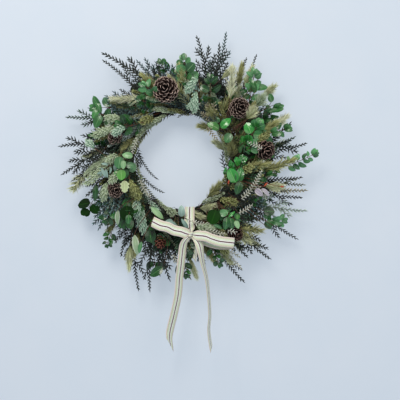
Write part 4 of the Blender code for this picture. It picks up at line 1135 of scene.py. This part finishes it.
def makeCones():
    for node, (turn, side, place, diameter, length, way, surface, count, *back) in cones.items():
        draft = Draft(pieceName(node))
        pointing = Vector((way[0], -way[1], way[2])).normalized()
        middle = atPlace(*place, (back[0] if back else conePlan["back"]) + length / 2)
        base = middle - pointing * length * mm / 2
        path = stemPath(rootOf(turn, side), side, 0, base, -pointing)
        draft.twig(path.spread(18), (conePlan["stalk"],) * 2)
        across = pointing.orthogonal().normalized()
        facing = across.cross(pointing)
        core = [base + pointing * length * mm * t for t in steps(0, 0.72, 6)]
        heel, waist, end = [diameter * mm * share for share in conePlan["core"]]
        draft.twig(core[:4], (heel, waist), "core")
        draft.twig(core[3:], (waist, end), "core")
        lowest = math.cos(math.radians(conePlan["reachDeg"]))
        for i in range(count):  # tips spread evenly over the cone's rounded outside, from the apex down
            level = 1 - (1 - lowest) * (i + 0.5) / count
            swell = math.sqrt(1 - level * level)
            angle = math.radians(i * goldenDeg)
            away = across * math.cos(angle) + facing * math.sin(angle)
            tip = middle + (pointing * level * length / 2 + away * swell * diameter / 2) * mm
            tip += away * draft.dice.uniform(-0.02, 0.02) * diameter * mm
            root = middle + pointing * (level * 0.30 - 0.16) * length * mm + away * diameter * 0.04 * mm
            heading = (tip - root).normalized()
            wide = diameter * mm * (0.135 + 0.08 * swell) * math.sqrt(conePlan["fullScales"] / count)
            wide *= draft.dice.uniform(0.88, 1.12)
            twist = across * draft.dice.uniform(-0.15, 0.15) + facing * draft.dice.uniform(-0.15, 0.15)
            draft.put(f"scale.{surface}", root, heading, (pointing - away * 0.2 + twist).normalized(),
                      (wide, (tip - root).length, wide * 1.5))
        draft.make(node)
    print("cones:", len(cones))


# Single leaves and buds that catch the eye

# how a stalk leans forward, bows, runs straight at its end, and how thick and of what it is
stalkPlans = {"leaf": (-0.12, 0.6, 14 * mm, (1.1 * mm, 0.6 * mm), "twig"),
              "bud": (-0.3, 0.5, 8 * mm, (0.9 * mm, 0.6 * mm), "redTwig")}
budWide = 4.6 * mm
# x and height of the base over the hoop's centre, height off its plane, length, heading hour, kind
singles = {
    "paleLeafOverCone": (-139, -52, 92, 29, 178, "lobed.sage"),
    "brightLeafOverCone": (-148, -24, 90, 26, 176, "round.fresh"),
    "greyLeafLeft": (-196, -20, 84, 24, 154, "lance.grey"),
    "greyLeafLeftLow": (-186, -22, 80, 22, 170, "lance.grey"),
    "foldedPaleLeafLeft": (-116, -184, 72, 50, 172, "lance.mint"),
    "slenderLeafRight": (-98, -200, 78, 30, 196, "lance.mid"),
    "paleLeafLowLeft": (-156, -124, 74, 36, 186, "lance.mint"),
    "darkLeafLowRight": (84, -122, 86, 38, 200, "round.night"),
    "lightLeafLowRight": (93, -131, 84, 22, 80, "round.mid"),
    "glossyLeafLowRight": (111, -140, 88, 31, 186, "oval.gloss"),
    "glossyLeafLowRightTwin": (119, -142, 84, 29, 168, "oval.gloss"),
    "slenderLeafLowRight": (115, -140, 84, 22, 45, "lance.gloss"),
    "smallLeafLowRight": (138, -133, 82, 13, 190, "round.fresh"),
    "curledLeafLowRight": (131, -149, 86, 21, 152, "oval.light"),
    "tealLeafLowRight": (78, -158, 84, 25, 112, "lance.mid"),
    "clusterLeafPale": (-120, 9, 90, 26, 282, "oval.light"),
    "clusterLeafLeft": (-150, 8, 84, 30, 190, "round.mid"),
    "clusterLeafFront": (-142, -2, 94, 21, 180, "oval.light"),
    "clusterLeafRight": (-135, -12, 86, 19, 95, "round.mid"),
    "darkLeafLowLeft": (-134, -112, 84, 40, 178, "round.night"),
    "brightLeafLowLeft": (-129, -134, 88, 24, 184, "oval.gloss"),
    "darkLeafUnderLoop": (-79, -172, 62, 32, 172, "round.deep"),
    "holeLeafBright": (91, 77, 70, 32, 300, "oval.fresh"),
    "roundLeafHoleRight": (121, 65, 74, 26, 215, "round.leaf"),
    "holeLeafMid": (98, 80, 66, 33, 40, "oval.gloss"),
    "greyLeafHole": (0, -138, 70, 28, 358, "oval.grey"),
    "greyLeafKnot": (15, -166, 86, 28, 326, "lance.grey"),
    "greyLeafKnotLeft": (-14, -164, 74, 26, 300, "oval.grey"),
    "greyLeafKnotLow": (-22, -150, 70, 22, 262, "oval.grey"),
    "foldedLeafLoop": (-75, -115, 72, 42, 133, "lance.light"),
    "whiteLeafRight": (196, -70, 94, 27, 131, "lance.pink"),
    "longLeafBottom": (-49, -266, 44, 37, 236, "oval.deep"),
    "slenderLeafUpLeft": (-201, 118, 46, 42, 340, "lance.leaf"),
    "tealLeafUpLeft": (-201, 113, 50, 36, 207, "oval.leaf"),
    "ovalLeafTopRight": (185, 180, 44, 29, 80, "oval.leaf"),
    "uprightLeafTopRight": (189, 203, 40, 25, 2, "oval.mid"),
    "darkLeafTopRight": (184, 177, 50, 35, 332, "lance.deep"),
    "ovalLeafRightUpper": (211, 121, 46, 36, 78, "lance.deep"),
    "slenderLeafRightUpper": (232, 140, 40, 20, 88, "lance.leaf"),
    "curledLeafRightUpper": (222, 146, 48, 22, 350, "cupped.leaf"),
    "roundLeafRightLow": (204, -125, 54, 27, 92, "round.deep"),
    "darkLeafRightLow": (220, -165, 44, 26, 355, "oval.deep"),
    "smallLeafRightLow": (237, -163, 44, 16, 65, "oval.leaf"),
    "darkLeafUnderFrond": (-198, -20, 62, 30, 215, "lance.deep"),
    "longDarkLeafLeft": (-213, -58, 56, 44, 182, "lance.deep"),
    "pinkLeafRight": (180, -72, 94, 24, 128, "oval.pink"),
    "foldedGlossRight": (132, -54, 86, 38, 336, "cupped.gloss"),
    "foldedGlossRightOuter": (138, -52, 84, 36, 14, "oval.gloss"),
    "deepLeafRight": (143, -54, 88, 32, 197, "oval.deep"),
    "budRight": (114, -58, 92, 12, 12, "bud.bud"),
    "budRightUpper": (202, -64, 88, 15, 42, "bud.bud"),
    "budRightOuter": (243, -65, 78, 10, 86, "bud.bud"),
}


def makeSingles():
    for name, (x, above, height, length, hour, kind) in singles.items():
        draft = Draft(name)
        outline = "bud" if kind == "bud.bud" else "leaf"
        lean, bow, straight, radii, surface = stalkPlans[outline]
        base = atPlace(x, above, height)
        angle = math.radians(hour)
        heading = Vector((math.sin(angle), lean, math.cos(angle))).normalized()
        root = onHoop(math.degrees(math.atan2(x, above)), face, hoop["seat"])
        stalk = curved(root, root + front * bow * (base - root).length, base - heading * straight, base, 10)
        draft.twig(stalk, radii, surface)
        size, normal = (budWide, length * mm, budWide), front
        if outline == "leaf":
            size = (length * mm,) * 3
            normal = (front + Vector((draft.dice.uniform(-0.2, 0.2), 0, 0.25))).normalized()
        draft.put(kind, base - heading * 1 * mm, heading, normal, size)
        draft.make()
    print("single leaves and buds:", len(singles))


# The growth between the sprays, a sixth of the way round at a time

filling = {"sprigs": 46, "backLeaves": 40, "lean": (10, 24),
           "sides": (edge, high, face, frontEdge, low, edge, face, frontEdge, high, inner),
           "holeKinds": ("oliveCord", "olive", "sageCord", "dark", "oliveCord"), "holeRise": 22,
           "holeDrop": 24, "cordShift": (14, -14, 8), "ribbonGap": (158, 184), "brush": (46, 64),
           "leaf": (22, 31), "roundShare": 0.4, "cordStem": (1.3 * mm, 0.6 * mm)}
# radius and length of the dark leaves at the back, whose near-black colour is painted shade between the
# sprays
backLeaves = {"hole": ((126, 134), (12, 16)), "outside": ((150, 212), (28, 38))}
# radius and height of the tips, by the side of the hoop that the stem leaves
fillingReach = {edge: ((205, 262), (-2, 22)), low: ((138, 165), (30, 60)), inner: ((117, 127), (8, 34)),
                **dict.fromkeys((frontEdge, high, face), ((172, 238), (14, 56)))}
# how often each kind comes up in each sixth of the wreath, clockwise from the top
fillingMix = [
    "dark sageCord olivePlume green palePlume deepLeaf dark oliveCord blue leafLeaf",
    "dark dark oliveCord olivePlume green deepLeaf palePlume dark leafLeaf olive",
    "dark oliveCord dark pale olivePlume deepLeaf olive green oliveCord dark",
    "dark dark sageCord green deepLeaf oliveCord olivePlume dark green leafLeaf",
    "dark sageCord green oliveCord palePlume dustyCord deepLeaf dark oliveCord olive",
    "dark oliveCord blue sageCord olivePlume dark deepLeaf dustyCord pale green",
]


def fillOne(draft, kind, path):
    dice, free = draft.dice, path.length - path.tuck
    if kind.endswith("Plume"):
        surface = "plume" if kind.startswith("olive") else "plumePale"
        brush = min(dice.uniform(*filling["brush"]), free * 0.9 / mm)
        growPlume(draft, path, brush, dice.uniform(0.9, 1.4), surface, "fillHairs")
    elif kind.endswith("Cord"):
        draft.twig(path.spread(12), filling["cordStem"], "redTwig")
        coverWithFingers(draft, path, path.tuck + 0.15 * free, "sprig" + kind[:-4].capitalize(),
                         frondPlan["cord"] * dice.uniform(0.85, 1.3))
    elif kind.endswith("Leaf"):
        shape = "round" if dice.random() < filling["roundShare"] else "oval"
        growLeafSpray(draft, path, dice.uniform(*filling["leaf"]), 3, shape, kind[:-4])
    else:
        growNeedleSprig(draft, path, kind, 4, dice.uniform(0.9, 1.15), "spike")


def shadowBackLeaf(draft, hour, inwards):  # a near-black leaf behind everything, painted shade deep among the sprays
    dice = draft.dice
    radii, lengths = backLeaves["hole" if inwards else "outside"]
    root = onHoop(hour + 6, inner if inwards else edge, 9 * mm)
    base = around(hour, dice.uniform(*radii) * mm, dice.uniform(-6, 14) * mm)
    draft.twig([root, root.lerp(base, 0.5), base], (0.9 * mm, 0.6 * mm))
    outwards = sideNormal(hour, edge) * (-1 if inwards else 1)
    heading = (outwards + Vector((dice.uniform(-0.8, 0.8), 0, dice.uniform(-0.8, 0.8)))).normalized()
    size = dice.uniform(*lengths) * mm
    normal = (front + Vector((dice.uniform(-0.4, 0.4), 0, dice.uniform(-0.4, 0.4)))).normalized()
    draft.put("round.shadow", base - heading * size * 0.4, heading, normal, (size,) * 3)


def makeFilling():
    span = 360 / len(fillingMix)
    gapStart, gapEnd = filling["ribbonGap"]
    for sector, mix in enumerate(fillingMix):
        draft = Draft(f"filling{sector + 1}", 0)
        dice = draft.dice
        kinds = mix.split()
        for i in range(filling["sprigs"]):
            root = sector * span + span * (i + dice.random()) / filling["sprigs"]
            side = filling["sides"][i % len(filling["sides"])]
            lean = dice.uniform(*filling["lean"])
            radius, height = [dice.uniform(*reach) for reach in fillingReach[side]]
            kind = kinds[(i * 7 + sector) % len(kinds)]
            if side == inner:  # the hole is wider at its top and foot than at its sides
                level = math.cos(math.radians(root - lean))
                radius += filling["holeRise"] * level if level > 0 else -filling["holeDrop"] * level
                kind = filling["holeKinds"][i // len(filling["sides"]) % len(filling["holeKinds"])]
            if kind.endswith("Cord"):
                shifts = zip((lean, radius, height), filling["cordShift"])
                lean, radius, height = [value + shift for value, shift in shifts]
            if gapStart < root - lean < gapEnd and side in (face, low, inner):
                continue  # the ribbon's band stays clear
            fillOne(draft, kind, sprayPath(root, side, 0, root - lean, radius, height))
        # near-black back leaves, painted shade behind the sprays
        for i in range(filling["backLeaves"]):
            hour = sector * span + span * (i + dice.random()) / filling["backLeaves"]
            shadowBackLeaf(draft, hour, i % 4 == 0)
        draft.make()
    print("filling:", len(fillingMix) * filling["sprigs"], "sprigs")


# Vines and wire

windings = {"vineRows": 150, "vineRound": 4, "ridge": 0.9 * mm, "ridgeScale": 160,
            "wireRows": hoop["wireTurns"] * 24, "wireRound": 2}


def woundPiece(name, turns, count, phase, height, radius, roundness, surface):
    points = [onHoop(360 * i / count, phase + 360 * i / count * turns, height) for i in range(count)]
    return barsAlong(name, [(points, (radius, radius))], roundness, surface, True)


def makeHoop():
    for number in range(1, hoop["vines"] + 1):
        piece = woundPiece(f"vineBark{number}", hoop["vineTurns"], windings["vineRows"],
                           360 * number / hoop["vines"], hoop["vineOffset"], hoop["vineRadius"],
                           windings["vineRound"], surfaces["vine"])
        for vert in piece.data.vertices:  # ridged bark, always inwards from the plain vine
            place = Vector(vert.co) * windings["ridgeScale"] + Vector((0, 0, number * 9))
            vert.co -= vert.normal * (0.5 + 0.5 * noise.noise(place)) * windings["ridge"]
        handOver(piece, f"vine_{number}")
    enamel, _, shader = speckledSurface("wireEnamel", 200, [(0.35, "12200f"), (0.7, "2d4427")], 0.38)
    shader.inputs["Metallic"].default_value = 0.4
    piece = woundPiece("wireTurns", hoop["wireTurns"], windings["wireRows"], 0, hoop["wireOffset"],
                       hoop["wireRadius"], windings["wireRound"], enamel)
    handOver(piece, "binding_wire")
    print("hoop and wire made")


# The ribbon: points right of, in front of and above the hoop's centre, in millimetres

ribbonPlan = {"wide": 25 * mm, "thick": 0.45 * mm, "columns": 10, "pinched": 0.36, "pleat": 2.2 * mm}
# points, slant of the cut end, cup, the ends that narrow into the knot, and over what length
ribbonStrips = {"band": (67, 0, 0, (0, 1), 12), "leftLoop": (67, 0, 0.8, (0, 1), 12),
                "rightLoop": (67, 0, 0.8, (0, 1), 17), "leftTail": (70, -19, 0.6, (0,), 34),
                "rightTail": (70, 6, 0.6, (0,), 34), "shortEnd": (24, 5, 1.5, (0,), 30)}
knot = {"x": 23, "ahead": 84, "above": -181, "wide": 5.5, "deep": 10.0, "squeeze": 0.5, "points": 33}
ribbonLines = {
    "band": [(21, 84, -177), (19, 76, -152), (19, 52, -131), (19, 20, -117), (20, -10, -114.8),
             (20, -17.6, -121), (20, -18.6, -140), (20, -15, -185), (20, 4, -228), (20, 30, -232),
             (20, 56, -214), (21, 78, -188)],
    "leftLoop": [(22, 88, -181), (12, 91, -180), (-1, 94, -175), (-18, 93, -171.5), (-34, 95, -163.5),
                 (-51, 93, -160), (-66, 88, -153), (-71, 84, -150.5), (-66, 79, -153), (-51, 76, -160),
                 (-34, 75, -164.5), (-18, 77, -172), (-1, 78, -176), (22, 81, -182)],
    "rightLoop": [(23, 88, -181), (38, 92, -184), (58, 96, -186), (73, 97, -192), (90, 95, -197.5),
                  (107, 93, -200), (124, 89, -202), (128, 85, -203), (122, 79, -206), (105, 76, -206.5),
                  (84, 75, -205), (60, 76, -198), (40, 79, -190), (24, 81, -183)],
    "leftTail": [(22, 88, -183), (8, 90, -198), (3, 89, -214), (-1, 87, -250), (-5.5, 82, -288),
                 (-9, 78, -330), (-18.5, 76, -376), (-28, 75, -415), (-30.5, 75, -436), (-28, 75, -455)],
    "shortEnd": [(27, 84, -186), (33, 82, -202), (34, 80, -224), (31, 79, -246)],
    "rightTail": [(25, 88, -185), (39, 90, -200), (45, 89, -214), (51, 87, -250), (60, 83, -286),
                  (65, 79, -322), (69, 77, -378), (66.5, 76, -416), (70, 75, -448), (73, 75, -463)],
}
# how far each tail has turned about itself, in degrees, at shares of its length
tailTurns = {"leftTail": [(0, 20), (0.1, 50), (0.2, 44), (0.5, 42), (0.8, 44), (1, 68)],
             "rightTail": [(0, 10), (0.08, 34), (0.2, 38), (0.28, 58), (0.38, 71), (1, 73)]}


def ribbonSurface():
    surface, tree, shader = newSurface("stripedRibbon", 0.75, 0.0, 0.3)
    aside = sums(tree, "ABSOLUTE", attribute(tree, "across"))
    stripes = ramp(tree, aside, [(0.0, "56182c"), (0.12, "f4f6f0"), (0.29, "b9c496"), (0.35, "eef4e6"),
                                 (0.48, "c6dca0"), (0.6, "eceedd"), (0.68, "a9a784"), (0.74, "dfd0bf"),
                                 (0.92, "e6dcd4")], "CONSTANT")
    worn = mixed(tree, scaled(tree, noisy(tree, 60, 3), 0.14), stripes, "cfcdc4")
    dressed(tree, shader, worn, 0.75, noisy(tree, 900, 3), 0.2, 0.2 * mm)
    return surface


def ribbonStrip(name, points, ways, cut=0.0, cup=0.0, ends=(0,), ease=1e-6):
    # a strip from a grid, with its middle on the points and its width along the ways
    bm = bmesh.new()
    across, along = [bm.verts.layers.float.new(layer) for layer in ("across", "along")]
    rows = len(points) - 1
    path = Path(points)
    for vert, u, t in gridOf(bm, ribbonPlan["columns"], rows):
        i = round(t * rows)
        heading = path.heading(path.marks[i])
        normal = ways[i].cross(heading).normalized()
        vert[across], vert[along] = u, path.marks[i]
        slant = cut * u * max(0.0, (t - 0.84) / 0.16)
        near = [path.length - path.marks[i] if end else path.marks[i] for end in ends]
        eased = min(1.0, min(near) / ease)
        pinched = ribbonPlan["pinched"]
        wide = ribbonPlan["wide"] * (pinched + (1 - pinched) * eased * eased * (3 - 2 * eased))
        pleat = normal * (1 - eased) * ribbonPlan["pleat"] * math.cos(u * 7)
        vert.co = points[i] + ways[i] * u * wide / 2 + heading * slant + normal * cup * (1 - u * u) + pleat
    obj = bpy.data.objects.new(name, meshOf(bm, name))
    solidify = obj.modifiers.new("Thickness", "SOLIDIFY")
    solidify.thickness = ribbonPlan["thick"]
    solidify.offset = 0
    return evaluated(obj), path.length


def flatWays(points):
    ways = []
    for i in range(len(points)):
        heading = points[min(i + 1, len(points) - 1)] - points[max(i - 1, 0)]
        heading.y = 0
        ways.append(heading.normalized().cross(front).normalized())
    return ways


def loopWays(points):
    reach = points[len(points) // 2] - points[len(points) // 3]
    reach.y = 0
    return [reach.normalized().cross(front).normalized()] * len(points)


def turnedWays(points, stops):
    ways = []
    for i, way in enumerate(flatWays(points)):
        done = i / (len(points) - 1)
        for (first, low), (last, high) in zip(stops, stops[1:]):
            if first <= done <= last:
                angle = low + (high - low) * (done - first) / (last - first)
        ways.append(Matrix.Rotation(math.radians(angle), 3, up) @ way)
    return ways


def widthWays(name, points):  # which way the ribbon's width lies at each of its points
    if name in tailTurns:
        return turnedWays(points, tailTurns[name])
    if name.endswith("Loop"):
        return loopWays(points)
    way = right if name == "band" else (right * 0.36 + front * 0.93).normalized()
    return [way] * len(points)


def makeRibbon():
    strips = []
    for name, (count, cut, cup, ends, ease) in ribbonStrips.items():
        points = smoothed([atPlace(x, above, ahead) for x, ahead, above in ribbonLines[name]], count)
        ways = widthWays(name, points)
        strips.append(ribbonStrip(name, points, ways, cut * mm, cup * mm, ends, ease * mm))
    ring = [atPlace(knot["x"] + knot["wide"] * math.cos(angle), knot["above"],
                    knot["ahead"] + knot["deep"] * math.sin(angle))
            for angle in steps(0, 2 * math.pi, knot["points"])]
    strips.append(ribbonStrip("knot", ring, [(up + right * 0.3).normalized()] * knot["points"]))
    middle = centre.z + knot["above"] * mm
    for vert in strips[-1][0].data.vertices:  # a knot is narrower than the cloth it's tied from
        vert.co.z += (middle - vert.co.z) * knot["squeeze"]
    surface = ribbonSurface()
    for strip, _ in strips:
        strip.data.materials.clear()
        strip.data.materials.append(surface)
        strip.data.shade_smooth()
    piece = joined([strip for strip, _ in strips], "stripedRibbon")
    handOver(piece, "ribbon")


# Camera, light and wall

stageSet = {"cameraX": 0.045, "below": 0.0975, "distance": 2.6, "across": 1.0, "sensor": 36,
            "nearFoliage": 0.03, "sky": "e2eaf4", "skyStrength": 0.36, "lampLight": "fff9f2",
            "wallGlow": "cad6e4", "glowShare": 0.55}
# place, size, power
lamps = {"keyLight": ((-0.6, -1.7, 1.3), 1.0, 38), "fillLight": ((1.3, -1.8, 0.4), 1.6, 12)}
# place and turn
backdrops = {"wall": ((0.04, 0.0222, -0.2), (math.radians(90), 0, 0)),
             "floor": ((0.04, -1.5, -1.6), (0, 0, 0))}


def backdropSurface():  # partly lit, partly glowing, and clear from behind
    surface, tree, shader = speckledSurface("paleWall", 6, [(0.3, "dbe5ee"), (0.7, "e2e9f0")], 0.9)
    glow = addNode(tree, "ShaderNodeEmission")
    glow.inputs["Color"].default_value = rgb(stageSet["wallGlow"])
    plain = addNode(tree, "ShaderNodeMixShader")
    choice = addNode(tree, "ShaderNodeMixShader")
    facing = addNode(tree, "ShaderNodeNewGeometry").outputs["Backfacing"]
    clear = addNode(tree, "ShaderNodeBsdfTransparent").outputs[0]
    for made, values in ((plain, (stageSet["glowShare"], shader.outputs[0], glow.outputs[0])),
                         (choice, (facing, plain.outputs[0], clear))):
        for socket, value in zip(made.inputs, values):
            feed(tree, value, socket)
    tree.links.new(choice.outputs[0], tree.nodes["Material Output"].inputs["Surface"])
    return surface


def makeStage():
    data = bpy.data.cameras.new("camera")
    data.sensor_width = stageSet["sensor"]
    data.lens = stageSet["sensor"] * (stageSet["distance"] - stageSet["nearFoliage"]) / stageSet["across"]
    camera = bpy.data.objects.new("camera", data)
    camera.location = (stageSet["cameraX"], -stageSet["distance"], centre.z - stageSet["below"])
    camera.rotation_euler = (math.radians(90), 0, 0)
    scene.collection.objects.link(camera)
    scene.camera = camera
    world = bpy.data.worlds.new("studio")
    world.use_nodes = True
    sky = world.node_tree.nodes["Background"]
    sky.inputs["Color"].default_value = rgb(stageSet["sky"])
    sky.inputs["Strength"].default_value = stageSet["skyStrength"]
    scene.view_settings.view_transform = "Standard"
    scene.world = world
    for name, (place, size, power) in lamps.items():
        light = bpy.data.lights.new(name, "AREA")
        light.size = size
        light.energy = power
        light.color = rgb(stageSet["lampLight"])[:3]
        lamp = bpy.data.objects.new(name, light)
        lamp.location = place
        lamp.rotation_euler = (centre - Vector(place)).to_track_quat("-Z", "Y").to_euler()
        scene.collection.objects.link(lamp)
    surface = backdropSurface()
    for name, (place, turn) in backdrops.items():
        bm = bmesh.new()
        bmesh.ops.create_grid(bm, x_segments=1, y_segments=1, size=3)
        mesh = meshOf(bm, name)
        mesh.materials.append(surface)
        backdrop = bpy.data.objects.new(name, mesh)
        backdrop.location = place
        backdrop.rotation_euler = turn
        backdrop.visible_shadow = False
        scene.collection.objects.link(backdrop)


makeStage()
makeHoop()
makeRibbon()
makeCones()
makeSprays("needle sprigs:", needleSprigs, growNeedleSprig)
makeFaceTwigs()
makeSprays("leafy sprays:", leafSprays, growLeafSpray)
makeSprays("plumes:", plumes, growPlume)
makeSprays("pale sprays:", paleSprays, growPaleSpray)
makeFaceFans()
makeSingles()
makeFilling()
for shape in list(shapeBox.objects):
    bpy.data.objects.remove(shape)
